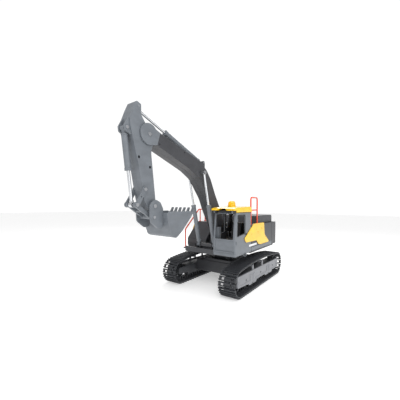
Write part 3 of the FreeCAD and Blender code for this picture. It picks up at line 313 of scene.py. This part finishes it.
@dataclass(frozen=True)
class Moulded:
    """Injection-moulded plastic: fine mould texture, flow marks, light handling scuffs."""

    name: str
    code: str
    roughness: float = 0.42
    grain: float = 0.05
    coat: float = 0.0
    coat_roughness: float = 0.12
    scuffs: float = 0.5
    specular: float = 0.5
    dust: float = 0.25

    def material(self) -> bpy.types.Material:
        """Build the material.

        Returns:
            The finished material.
        """
        base = linear(self.code)
        shader = Shader(
            self.name,
            {
                "Roughness": self.roughness,
                "Specular IOR Level": self.specular,
                "Coat Weight": self.coat,
                "Coat Roughness": self.coat_roughness,
            },
        )
        flow = shader.noise(26.0, 3.0, (1.0, 1.0, 2.2))
        speckle = shader.noise(0.9, 2.0)
        scratch = shader.noise(1.6, 3.0, (0.06, 1.0, 1.0)).rise(0.66, 0.74)
        rubbed = (shader.noise(9.0, 2.0).rise(0.5, 0.72) * scratch) * self.scuffs
        settled = shader.noise(15.0, 4.0).rise(0.52, 0.82) * self.dust
        mottled = (flow * 0.75 + speckle * 0.25).rise(0.3, 0.7)
        colour = shader.colours(mottled, shifted(base, 0.9), shifted(base, 1.1))
        colour = shader.tint(settled * 0.35, colour, shifted(base, 1.5))
        shader.connect("Base Color", shader.tint(rubbed * 0.4, colour, shifted(base, 1.9)))
        shader.connect(
            "Roughness",
            flow * 0.16 + (self.roughness - 0.1) + rubbed * 0.2 + settled * 0.12 + speckle * 0.04,
        )
        grain = shader.cells(0.55) * 0.7 + shader.noise(0.28, 1.0) * 0.3
        shader.relief(grain - rubbed * 0.4, self.grain)
        return shader.material


@dataclass(frozen=True)
class Metal:
    """Bright metal with fine marks round or along it."""

    name: str
    code: str
    roughness: float = 0.2
    stretch: Point = (1.0, 1.0, 12.0)
    tarnish: float = 0.3

    def material(self) -> bpy.types.Material:
        """Build the material.

        Returns:
            The finished material.
        """
        base = linear(self.code)
        shader = Shader(self.name, {"Metallic": 1.0, "Roughness": self.roughness})
        fine = shader.noise(0.5, 2.0, self.stretch)
        cloud = shader.noise(7.0, 3.0)
        dull = cloud.rise(0.5, 0.8) * self.tarnish
        colour = shader.colours(fine, shifted(base, 0.92), shifted(base, 1.05))
        shader.connect("Base Color", shader.tint(dull, colour, shifted(base, 0.6)))
        shader.connect("Roughness", fine * 0.1 + (self.roughness - 0.04) + dull * 0.25)
        shader.relief(fine, 0.01)
        return shader.material


@dataclass(frozen=True)
class Lens:
    """Clear tinted plastic with moulded flutes seen through it, and a faint painted glow of its own
    colour.
    """

    name: str
    code: str
    # painted glow: the lens emits light of its own colour, though the toy's beacon is unlit plastic
    painted_glow: float = 0.0
    transmission: float = 0.35

    def material(self) -> bpy.types.Material:
        """Build the material.

        Returns:
            The finished material.
        """
        base = linear(self.code)
        shader = Shader(
            self.name,
            {
                "Roughness": 0.12,
                "Transmission Weight": self.transmission,
                "IOR": 1.49,
                "Coat Weight": 0.6,
                "Coat Roughness": 0.05,
                "Emission Strength": self.painted_glow,
                "Emission Color": (*base, 1.0),
            },
        )
        cloud = shader.noise(3.0, 2.0)
        shader.connect("Base Color", shader.colours(cloud, shifted(base, 0.85), shifted(base, 1.12)))
        shader.connect("Roughness", cloud * 0.08 + 0.08)
        shader.relief(shader.noise(1.2, 1.0, (1.0, 1.0, 0.15)), 0.08)
        return shader.material


FINISHES = {
    Slot.DARK_BODY: Moulded("anthracite moulding", "3b3c40", roughness=0.4, dust=0.35),
    Slot.LIGHT_GREY: Moulded("stone grey moulding", "6c7177", roughness=0.36, dust=0.2),
    Slot.MID_GREY: Moulded("plate grey moulding", "85878c", roughness=0.44),
    Slot.TRACK_BLACK: Moulded("track moulding", "3c3e42", roughness=0.5, grain=0.08, dust=0.5),
    Slot.YELLOW: Moulded("sun yellow moulding", "ffc814", roughness=0.3, coat=0.35, grain=0.02,
                         dust=0.0),
    Slot.RAIL_ORANGE: Moulded("signal orange rod", "e8481c", roughness=0.3, coat=0.3, grain=0.02),
    Slot.SILVER_ROD: Metal("plated rod", "d5d7da", roughness=0.14),
    Slot.STEEL_PIN: Metal("turned steel", "b4b6ba", roughness=0.3, stretch=(1.0, 8.0, 1.0)),
    Slot.SCREW_DARK: Metal("blackened screw", "3a3b3e", roughness=0.38, stretch=(6.0, 1.0, 6.0)),
    Slot.INTERIOR_DARK: Moulded("black inner trim", "222326", roughness=0.55, grain=0.1, dust=0.5),
    # the amber lens, and the beacon flutes made of it, carry a painted glow
    Slot.LENS_AMBER: Lens("amber lens", "ffc428", painted_glow=0.25),
    Slot.LABEL_WHITE: Moulded("blank white label", "e4e5e7", roughness=0.5, grain=0.01, scuffs=0.2),
}
MATERIALS = {slot: finish.material() for slot, finish in FINISHES.items()}


# ------------------------------------------------------------------ mesh building
def shade(mesh: bpy.types.Mesh, angle: float) -> None:
    """Smooth a mesh, keeping edges sharper than an angle in degrees crisp."""
    mesh.polygons.foreach_set("use_smooth", [True] * len(mesh.polygons))
    mesh.set_sharp_from_angle(angle=math.radians(angle))


def settle(name: str, mesh: bpy.types.Mesh, body: str, slot: Slot) -> bpy.types.Object:
    """Make an object of a finished mesh.

    Args:
        name: The piece's name.
        mesh: Its mesh, in place.
        body: The body it rides on.
        slot: Its material slot.

    Returns:
        The object.
    """
    mesh.materials.clear()
    mesh.materials.append(MATERIALS[slot])
    piece = bpy.data.objects.new(name, mesh)
    bpy.context.scene.collection.objects.link(piece)
    weights = piece.modifiers.new("even shading", "WEIGHTED_NORMAL")
    weights.keep_sharp = True
    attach(piece, body)
    LOG.info("%s: %d faces on %s, %s", name, len(mesh.polygons), body, slot.value)
    return piece


class Form:
    """A closed shape in the making."""

    def __init__(self) -> None:
        """Start with nothing."""
        self.bm = bmesh.new()

    def block(self, low: Vector, high: Vector, ease: float = 0.0) -> "Form":
        """Add a rectangular block.

        Args:
            low: Lowest corner.
            high: Highest corner.
            ease: Radius of its edges, in millimetres.

        Returns:
            This form.
        """
        size = high - low
        where = Matrix.Translation((low + high) / 2) @ Matrix.Diagonal((*size, 1.0))
        made = bmesh.ops.create_cube(self.bm, size=1.0, matrix=where)
        if ease:
            self.ease_edges({e for v in made["verts"] for e in v.link_edges}, ease)
        return self

    def drum(self, start: Vector, end: Vector, radius: float, sides: int = 32,
             ease: float = 0.0) -> "Form":
        """Add a round bar.

        Args:
            start: Middle of one end.
            end: Middle of the other end.
            radius: Its radius, in millimetres.
            sides: Number of flats that stand for the round.
            ease: Radius of the end edges, in millimetres.

        Returns:
            This form.
        """
        along = end - start
        turn = along.to_track_quat("Z", "Y").to_matrix().to_4x4()
        where = Matrix.Translation((start + end) / 2) @ turn
        made = bmesh.ops.create_cone(
            self.bm, cap_ends=True, cap_tris=False, segments=sides, radius1=radius * MM,
            radius2=radius * MM, depth=along.length, matrix=where,
        )
        if ease:
            rims = {e for v in made["verts"] for e in v.link_edges
                    if any(len(f.verts) > 4 for f in e.link_faces)}
            self.ease_edges(rims, ease)
        return self

    def ring(self, centre: Vector, axis: Vector, radius: float, thickness: float,
             sides: int = 40) -> "Form":
        """Add a round ring of round section.

        Args:
            centre: Its middle.
            axis: Its axis.
            radius: From the axis to the section's middle, in millimetres.
            thickness: Radius of the section, in millimetres.
            sides: Number of steps round the ring.

        Returns:
            This form.
        """
        across = axis.orthogonal().normalized()
        hub = centre + across * radius * MM
        turn = axis.cross(across).to_track_quat("Z", "Y").to_matrix().to_4x4()
        made = bmesh.ops.create_circle(
            self.bm, cap_ends=False, segments=12, radius=thickness * MM,
            matrix=Matrix.Translation(hub) @ turn,
        )
        edges = list({e for v in made["verts"] for e in v.link_edges})
        bmesh.ops.spin(self.bm, geom=made["verts"] + edges, cent=centre, axis=axis,
                       angle=math.tau, steps=sides, use_merge=True)
        return self

    def border(self, outline: list[Vector], thickness: Vector, corner: float,
               width: float) -> "Form":
        """Add a flat frame that follows an outline on its inner side.

        Args:
            outline: Corners of one face.
            thickness: From that face to the other.
            corner: Radius of the corners, in millimetres.
            width: Width of the frame, in millimetres.

        Returns:
            This form.
        """
        verts = [self.bm.verts.new(p) for p in outline]
        self.bm.faces.new(verts)
        made = bmesh.ops.bevel(self.bm, geom=verts, offset=corner * MM, offset_type="OFFSET",
                               segments=4, profile=0.5, affect="VERTICES", material=-1)
        face = made["verts"][0].link_faces[0]
        bmesh.ops.inset_region(self.bm, faces=[face], thickness=width * MM,
                               depth=0.0, use_boundary=True, use_even_offset=True)
        rim = [f for f in {g for v in face.verts for g in v.link_faces} if f is not face]
        bmesh.ops.delete(self.bm, geom=[face], context="FACES_ONLY")
        grown = bmesh.ops.extrude_face_region(self.bm, geom=rim, use_keep_orig=True)
        moved = [g for g in grown["geom"] if isinstance(g, bmesh.types.BMVert)]
        bmesh.ops.translate(self.bm, verts=moved, vec=thickness)
        return self

    def ease_edges(self, edges: set[bmesh.types.BMEdge], width: float) -> "Form":
        """Round some edges by a radius in millimetres."""
        bmesh.ops.bevel(self.bm, geom=list(edges), offset=width * MM, offset_type="OFFSET",
                        segments=2, profile=0.5, affect="EDGES", material=-1, clamp_overlap=True)
        return self

    def piece(self, name: str, body: str, slot: Slot, angle: float = 40.0) -> bpy.types.Object:
        """Finish the form as a piece.

        Args:
            name: The piece's name.
            body: The body it rides on.
            slot: Its material slot.
            angle: Edges sharper than this stay crisp, in degrees.

        Returns:
            The object.
        """
        bmesh.ops.remove_doubles(self.bm, verts=self.bm.verts, dist=1e-7)
        bmesh.ops.recalc_face_normals(self.bm, faces=self.bm.faces)
        mesh = bpy.data.meshes.new(name)
        self.bm.to_mesh(mesh)
        self.bm.free()
        shade(mesh, angle)
        return settle(name, mesh, body, slot)


@dataclass
class Skin:
    """Moulded surface over a CAD node: the same shape with its sharp edges eased."""

    node: str
    slot: Slot
    ease: float = 0.5
    sharp: float = 38.0
    tries: int = 3
    flat: float = 0.8
    shortest: float = 0.4
    slack: float = 0.02
    loss: float = 0.04

    def build(self) -> bpy.types.Object:
        """Make the skin, or leave its edges crisp where they can't be eased soundly.

        Returns:
            The skin's object, which stands for the node.
        """
        source = frame["nodes"][self.node]
        body = body_of(source)[0]
        width = self.ease
        for _ in range(self.tries):
            mesh = self.eased(source.data, width)
            if mesh is not None:
                break
            width *= 0.5
        else:
            mesh = self.eased(source.data, 0.0)
            LOG.info("%s keeps its crisp edges", self.node)
        shade(mesh, self.sharp)
        piece = settle(self.node + "_skin", mesh, body, self.slot)
        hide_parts(self.node)
        return piece

    def eased(self, data: bpy.types.Mesh, width: float) -> bpy.types.Mesh | None:
        """Copy a mesh with eased edges.

        Args:
            data: The node's mesh.
            width: Radius of the edges, in millimetres, 0 for none.

        Returns:
            The new mesh, or None if it came out unsound.
        """
        bm = bmesh.new()
        bm.from_mesh(data)
        bmesh.ops.remove_doubles(bm, verts=bm.verts, dist=1e-6)
        volume = bm.calc_volume()
        low, high = self.span(bm)
        bmesh.ops.dissolve_limit(bm, angle_limit=math.radians(self.flat), use_dissolve_boundaries=False,
                                 verts=bm.verts, edges=bm.edges, delimit=set())
        if width:
            sharp = math.radians(self.sharp)
            edges = [e for e in bm.edges if e.is_manifold and e.calc_face_angle(0.0) > sharp
                     and e.is_convex and e.calc_length() > self.shortest * width * MM]
            bmesh.ops.bevel(bm, geom=edges, offset=width * MM, offset_type="OFFSET", segments=2,
                            profile=0.5, affect="EDGES", material=-1, clamp_overlap=False,
                            miter_outer="SHARP", miter_inner="SHARP")
            new_low, new_high = self.span(bm)
            slack = self.slack * MM
            grown = any(b < a - slack for a, b in zip(low, new_low)) or any(
                b > a + slack for a, b in zip(high, new_high))
            open_edges = any(not e.is_manifold for e in bm.edges)
            lost = abs(bm.calc_volume() - volume) > self.loss * abs(volume)
            if grown or open_edges or lost:
                bm.free()
                return None
        mesh = bpy.data.meshes.new(self.node + "_skin")
        bm.to_mesh(mesh)
        bm.free()
        return mesh

    @staticmethod
    def span(bm: bmesh.types.BMesh) -> tuple[list[float], list[float]]:
        """Lowest and highest corner of a shape."""
        points = [v.co for v in bm.verts]
        return ([min(p[i] for p in points) for i in range(3)],
                [max(p[i] for p in points) for i in range(3)])


def dress(node: str, slot: Slot) -> None:
    """Give a CAD node that keeps its own mesh its finish."""
    mesh = frame["nodes"][node].data
    if not mesh.materials:
        mesh.materials.append(MATERIALS[slot])
    for i in range(len(mesh.materials)):
        mesh.materials[i] = MATERIALS[slot]
    LOG.info("%s: dressed, %s", node, slot.value)


# ------------------------------------------------------------------ sub-assemblies
@dataclass
class Undercarriage:
    """Tracks, wheels, frames and the slew ring's lower half."""

    wheel_x: float = 124.3
    wheel_z: float = 31.5
    track_y: float = 83.5
    plate_face: float = 99.3
    bolt_circle: float = 12.792
    bolts: int = 6
    bolt_radius: float = 1.5
    bolt_reach: tuple[float, float] = (2.4, 4.4)
    pad_x: tuple[float, ...] = (53.0, -54.0)
    pad_step: float = 9.5
    pad_half: float = 4.2
    pad_height: float = 0.9
    pad_z: tuple[float, float] = (18.5, 38.5)
    nut_z: float = 33.5
    plain: tuple[str, ...] = ("track_links_left", "track_links_right")
    pins: tuple[str, ...] = ("track_pins", "wheel_axles")

    def build(self) -> None:
        """Dress the nodes and fit the details."""
        for node in self.plain:
            dress(node, Slot.TRACK_BLACK)
        for node in self.pins:
            dress(node, Slot.STEEL_PIN)
        dress("side_plate_screws", Slot.SCREW_DARK)
        for side in ("left", "right"):
            Skin("track_frame_" + side, Slot.TRACK_BLACK, 0.8).build()
            Skin("side_plate_" + side, Slot.MID_GREY, 0.5).build()
            Skin("sprocket_" + side, Slot.TRACK_BLACK, 0.4).build()
            Skin("idler_" + side, Slot.TRACK_BLACK, 0.4).build()
        Skin("carbody", Slot.DARK_BODY, 1.2).build()
        Skin("slew_ring_lower", Slot.DARK_BODY, 0.3).build()
        Skin("belly_cover", Slot.DARK_BODY, 0.8).build()
        for side, name in ((1, "left"), (-1, "right")):
            self.guard_pads(side, name)
            self.wheel_bolts(side, "idler_" + name, self.wheel_x)
            self.wheel_bolts(side, "sprocket_" + name, -self.wheel_x)

    def guard_pads(self, side: int, name: str) -> None:
        """Raised pads and bolt heads on one side plate."""
        form = Form()
        face = self.plate_face * side
        for x in self.pad_x:
            for dx in (-self.pad_step, self.pad_step):
                near, far = sorted((face - side, face + self.pad_height * side))
                low = ORIGIN.at(x + dx - self.pad_half, near, self.pad_z[0])
                high = ORIGIN.at(x + dx + self.pad_half, far, self.pad_z[1])
                form.block(low, high, 0.6)
            form.drum(ORIGIN.at(x, face - side, self.nut_z), ORIGIN.at(x, face + side, self.nut_z),
                      2.6, 6, 0.3)
        form.piece("guard_pads_" + name, "undercarriage", Slot.MID_GREY)

    def wheel_bolts(self, side: int, wheel: str, x: float) -> None:
        """Ring of bolt heads on both faces of one wheel."""
        form = Form()
        middle = side * self.track_y
        near, far = self.bolt_reach
        for i in range(self.bolts):
            angle = math.tau * (i + 0.5) / self.bolts
            bx = x + self.bolt_circle * math.cos(angle)
            bz = self.wheel_z + self.bolt_circle * math.sin(angle)
            for face in (-1, 1):
                start = ORIGIN.at(bx, middle + face * near, bz)
                end = ORIGIN.at(bx, middle + face * far, bz)
                form.drum(start, end, self.bolt_radius, 6, 0.2)
        form.piece(wheel + "_bolts", wheel, Slot.STEEL_PIN)


@dataclass
class Upper:
    """Deck, housings, hood, counterweight, panels, rails."""

    deck_top: float = 154.8
    rail_y: float = 85.0
    foot_radius: float = 3.6
    foot_height: float = 1.4
    foot_at: tuple[tuple[float, int], ...] = ((32.0, 1), (-9.0, 1), (-9.0, -1), (17.0, -1))
    low_foot: tuple[float, float] = (84.5, 87.2)
    low_foot_height: float = 1.2
    low_foot_radius: float = 3.2
    eased: tuple[tuple[str, Slot, float], ...] = (
        ("turntable", Slot.DARK_BODY, 0.8),
        ("slew_retainer", Slot.DARK_BODY, 0.3),
        ("housing_left", Slot.DARK_BODY, 1.0),
        ("housing_right", Slot.DARK_BODY, 1.0),
        ("side_sill_left", Slot.LIGHT_GREY, 0.8),
        ("bulkhead", Slot.DARK_BODY, 0.5),
        ("engine_hood", Slot.DARK_BODY, 1.0),
        ("counterweight", Slot.DARK_BODY, 1.2),
        ("side_panels", Slot.YELLOW, 0.7),
        ("label_plate", Slot.LABEL_WHITE, 0.15),
        ("step_right", Slot.DARK_BODY, 0.5),
        ("boom_foot_pin", Slot.STEEL_PIN, 0.4),
    )

    def build(self) -> None:
        """Dress the nodes and fit the details."""
        for node, slot, ease in self.eased:
            Skin(node, slot, ease).build()
        dress("upper_screws", Slot.SCREW_DARK)
        for node in ("handrail_left", "handrail_right"):
            dress(node, Slot.RAIL_ORANGE)
        self.rail_feet()

    def rail_feet(self) -> None:
        """Round flange under each rail post."""
        form = Form()
        for x, side in self.foot_at:
            y = side * self.rail_y
            form.drum(ORIGIN.at(x, y, self.deck_top),
                      ORIGIN.at(x, y, self.deck_top + self.foot_height), self.foot_radius, 28, 0.4)
        x, z = self.low_foot
        form.drum(ORIGIN.at(x, -self.rail_y, z), ORIGIN.at(x, -self.rail_y, z + self.low_foot_height),
                  self.low_foot_radius, 28, 0.3)
        form.piece("rail_feet", "upper", Slot.RAIL_ORANGE)


@dataclass
class Cab:
    """Driver's cab with its seals, lamps and beacon."""

    side_face: float = 93.4
    inner_face: float = 36.0
    window: tuple[tuple[float, float], ...] = (
        (120.9, 181.9), (82.1, 181.9), (81.9, 137.5), (123.5, 132.7)
    )
    seal_depth: float = 0.5
    seal_corner: float = 3.4
    seal_width: float = 1.7
    hinge_at: tuple[tuple[float, float], ...] = ((127.3, 120.0), (123.2, 170.0))
    hinge_half: float = 3.2
    beacon: tuple[float, float] = (87.0, 60.0)
    beacon_radius: float = 8.4
    lamp_y: tuple[float, ...] = (43.0, 89.0)
    lamp_z: float = 188.0
    lamp_front: float = 137.6
    collar_z: float = 203.6
    flutes: int = 24
    flute_z: tuple[float, float] = (204.6, 208.6)

    def build(self) -> None:
        """Dress the nodes and fit the details."""
        dress("cab_shell", Slot.LIGHT_GREY)
        Skin("cab_roof", Slot.YELLOW, 0.9).build()
        Skin("cab_floor", Slot.INTERIOR_DARK, 0.5).build()
        Skin("driver_seat", Slot.INTERIOR_DARK, 2.0).build()
        Skin("console", Slot.INTERIOR_DARK, 0.5).build()
        Skin("roof_lamps", Slot.INTERIOR_DARK, 0.3).build()
        Skin("beacon_lens", Slot.LENS_AMBER, 0.4).build()
        self.window_seals()
        self.door()
        self.lamps()
        self.beacon_details()
        self.seat_details()

    def window_seals(self) -> None:
        """Black seals round the two side windows."""
        form = Form()
        for face, out in ((self.side_face, 1), (self.inner_face, -1)):
            outline = [ORIGIN.at(x, face, z) for x, z in self.window]
            form.border(outline, Vector((0, self.seal_depth * out * MM, 0)),
                        self.seal_corner, self.seal_width)
        form.piece("window_seals", "upper", Slot.INTERIOR_DARK)

    def door(self) -> None:
        """Door handle and its two hinges."""
        form = Form()
        face = self.side_face
        form.block(ORIGIN.at(74.0, face, 134.0), ORIGIN.at(80.0, face + 1.0, 137.5), 0.4)
        form.block(ORIGIN.at(75.0, face + 0.9, 134.8), ORIGIN.at(86.0, face + 2.0, 136.6), 0.5)
        form.piece("door_handle", "upper", Slot.INTERIOR_DARK)
        hinges = Form()
        for x, z in self.hinge_at:
            hinges.drum(ORIGIN.at(x, face + 0.7, z - self.hinge_half),
                        ORIGIN.at(x, face + 0.7, z + self.hinge_half), 1.2, 16, 0.3)
        hinges.piece("door_hinges", "upper", Slot.LIGHT_GREY)

    def lamps(self) -> None:
        """Bezel and plated lens of each lamp box."""
        bezels, lenses = Form(), Form()
        face = self.lamp_front
        for y in self.lamp_y:
            bezels.ring(ORIGIN.at(face, y, self.lamp_z), Vector((1, 0, 0)), 2.9, 0.5)
            lenses.drum(ORIGIN.at(face - 0.6, y, self.lamp_z),
                        ORIGIN.at(face + 0.3, y, self.lamp_z), 2.6, 32, 0.2)
        bezels.piece("lamp_bezels", "upper", Slot.INTERIOR_DARK)
        lenses.piece("lamp_lenses", "upper", Slot.SILVER_ROD)

    def beacon_details(self) -> None:
        """Collar under the beacon and the flutes round its lens."""
        x, y = self.beacon
        collar = Form()
        collar.ring(ORIGIN.at(x, y, self.collar_z), Vector((0, 0, 1)), self.beacon_radius + 0.5, 0.9, 48)
        collar.piece("beacon_collar", "upper", Slot.YELLOW)
        flutes = Form()
        low, high = self.flute_z
        for i in range(self.flutes):
            angle = math.tau * i / self.flutes
            fx = x + (self.beacon_radius - 0.15) * math.cos(angle)
            fy = y + (self.beacon_radius - 0.15) * math.sin(angle)
            flutes.drum(ORIGIN.at(fx, fy, low), ORIGIN.at(fx, fy, high), 0.5, 8)
        flutes.piece("beacon_flutes", "upper", Slot.LENS_AMBER)

    def seat_details(self) -> None:
        """Raised bolsters on the driver's seat."""
        form = Form()
        for y in (52.4, 73.6):
            form.drum(ORIGIN.at(74.0, y, 124.6), ORIGIN.at(94.0, y, 126.4), 1.8, 16, 0.8)
            form.drum(ORIGIN.at(71.5, y, 132.0), ORIGIN.at(67.2, y, 157.0), 1.8, 16, 0.8)
        form.piece("seat_bolsters", "upper", Slot.INTERIOR_DARK)


@dataclass
class FrontGear:
    """Boom, stick, bucket, their linkage and the dummy cylinders."""

    eased: tuple[tuple[str, Slot, float], ...] = (
        ("boom_half_left", Slot.DARK_BODY, 0.8),
        ("boom_half_right", Slot.DARK_BODY, 0.8),
        ("boom_tip", Slot.LIGHT_GREY, 0.6),
        ("boom_pins", Slot.STEEL_PIN, 0.4),
        ("stick_half_left", Slot.LIGHT_GREY, 0.7),
        ("stick_half_right", Slot.LIGHT_GREY, 0.7),
        ("stick_pins", Slot.STEEL_PIN, 0.3),
        ("bucket_shell", Slot.LIGHT_GREY, 0.4),
        ("bucket_pins", Slot.STEEL_PIN, 0.3),
        ("rocker_plates", Slot.LIGHT_GREY, 0.3),
        ("link_pin", Slot.STEEL_PIN, 0.3),
        ("h_link", Slot.LIGHT_GREY, 0.4),
        ("boom_barrel_left", Slot.LIGHT_GREY, 0.3),
        ("boom_barrel_right", Slot.LIGHT_GREY, 0.3),
        ("arm_barrel", Slot.LIGHT_GREY, 0.3),
        ("bucket_barrel", Slot.LIGHT_GREY, 0.3),
        ("boom_rod_left", Slot.SILVER_ROD, 0.2),
        ("boom_rod_right", Slot.SILVER_ROD, 0.2),
        ("arm_rod", Slot.SILVER_ROD, 0.2),
        ("bucket_rod", Slot.SILVER_ROD, 0.2),
    )

    def build(self) -> None:
        """Dress the nodes and fit the details."""
        for node, slot, ease in self.eased:
            Skin(node, slot, ease).build()
        for node in ("boom_screws", "stick_screws"):
            dress(node, Slot.SCREW_DARK)


@dataclass
class Studio:
    """White table, soft lights and the camera."""

    eye: Point = (595.8, 335.2, 203.5)
    yaw: float = 36.06
    pitch: float = 1.216
    roll: float = 0.498
    lens: float = 21.3
    sensor: float = 36.0
    sky: float = 0.6
    backdrop: float = 1.05
    floor_half: float = 6.0
    floor_glow: float = 0.4
    aim: Point = (0.05, 0.0, 0.15)
    lamps: tuple[tuple[str, Point, float, float], ...] = (
        ("key", (0.9, 0.55, 1.1), 0.9, 9.0),
        ("fill", (0.2, 1.3, 0.5), 1.0, 4.0),
        ("rim", (-0.9, -0.5, 0.9), 0.7, 5.0),
    )

    def build(self) -> None:
        """Set the stage."""
        self.floor()
        self.lights()
        self.camera()
        bpy.context.scene.view_settings.view_transform = "Standard"

    def floor(self) -> None:
        """Pale floor that runs well past the view."""
        bm = bmesh.new()
        bmesh.ops.create_grid(bm, x_segments=1, y_segments=1, size=self.floor_half)
        mesh = bpy.data.meshes.new("floor")
        bm.to_mesh(mesh)
        bm.free()
        shader = Shader(
            "pale table",
            {
                "Roughness": 0.7,
                "Specular IOR Level": 0.2,
                "Emission Color": (1.0, 1.0, 1.0, 1.0),
                "Emission Strength": self.floor_glow,
            },
        )
        cloud = shader.noise(60.0, 2.0)
        shader.connect("Base Color", shader.colours(cloud, (0.86, 0.86, 0.86), (0.9, 0.9, 0.9)))
        mesh.materials.append(shader.material)
        table = bpy.data.objects.new("floor", mesh)
        bpy.context.scene.collection.objects.link(table)

    def lights(self) -> None:
        """Surroundings that look white and light the toy less, with three large lamps."""
        world = bpy.data.worlds.new("studio")
        world.use_nodes = True
        tree = world.node_tree
        background = tree.nodes["Background"]
        background.inputs["Color"].default_value = (1.0, 1.0, 1.0, 1.0)
        rays = tree.nodes.new("ShaderNodeLightPath")
        strength = tree.nodes.new("ShaderNodeMapRange")
        strength.inputs["To Min"].default_value = self.sky
        strength.inputs["To Max"].default_value = self.backdrop
        tree.links.new(rays.outputs["Is Camera Ray"], strength.inputs["Value"])
        tree.links.new(strength.outputs["Result"], background.inputs["Strength"])
        bpy.context.scene.world = world
        for name, place, size, power in self.lamps:
            data = bpy.data.lights.new(name, "AREA")
            data.size = size
            data.energy = power
            lamp = bpy.data.objects.new(name, data)
            lamp.location = place
            aim = Vector(self.aim) - Vector(place)
            lamp.rotation_euler = aim.to_track_quat("-Z", "Y").to_euler()
            bpy.context.scene.collection.objects.link(lamp)

    def camera(self) -> None:
        """Camera nearly level with the cab's roof, ahead and to the left."""
        yaw, pitch, roll = (math.radians(a) for a in (self.yaw, self.pitch, self.roll))
        ahead = Vector((-math.cos(yaw) * math.cos(pitch), -math.sin(yaw) * math.cos(pitch),
                        math.sin(pitch)))
        right = ahead.cross(Vector((0, 0, 1))).normalized()
        up = right.cross(ahead)
        tilted = right * math.cos(roll) + up * math.sin(roll)
        head = up * math.cos(roll) - right * math.sin(roll)
        data = bpy.data.cameras.new("camera")
        data.sensor_width = self.sensor
        data.lens = self.lens
        data.clip_start = 0.01
        camera = bpy.data.objects.new("camera", data)
        turn = Matrix((tilted, head, -ahead)).transposed().to_4x4()
        camera.matrix_world = Matrix.Translation(ORIGIN.at(*self.eye)) @ turn
        bpy.context.scene.collection.objects.link(camera)
        bpy.context.scene.camera = camera


def main() -> None:
    """Build the whole toy in its order."""
    Studio().build()
    for assembly in (Undercarriage(), Upper(), Cab(), FrontGear()):
        LOG.info("-- %s", type(assembly).__name__)
        assembly.build()


if __name__ == "__main__":
    main()
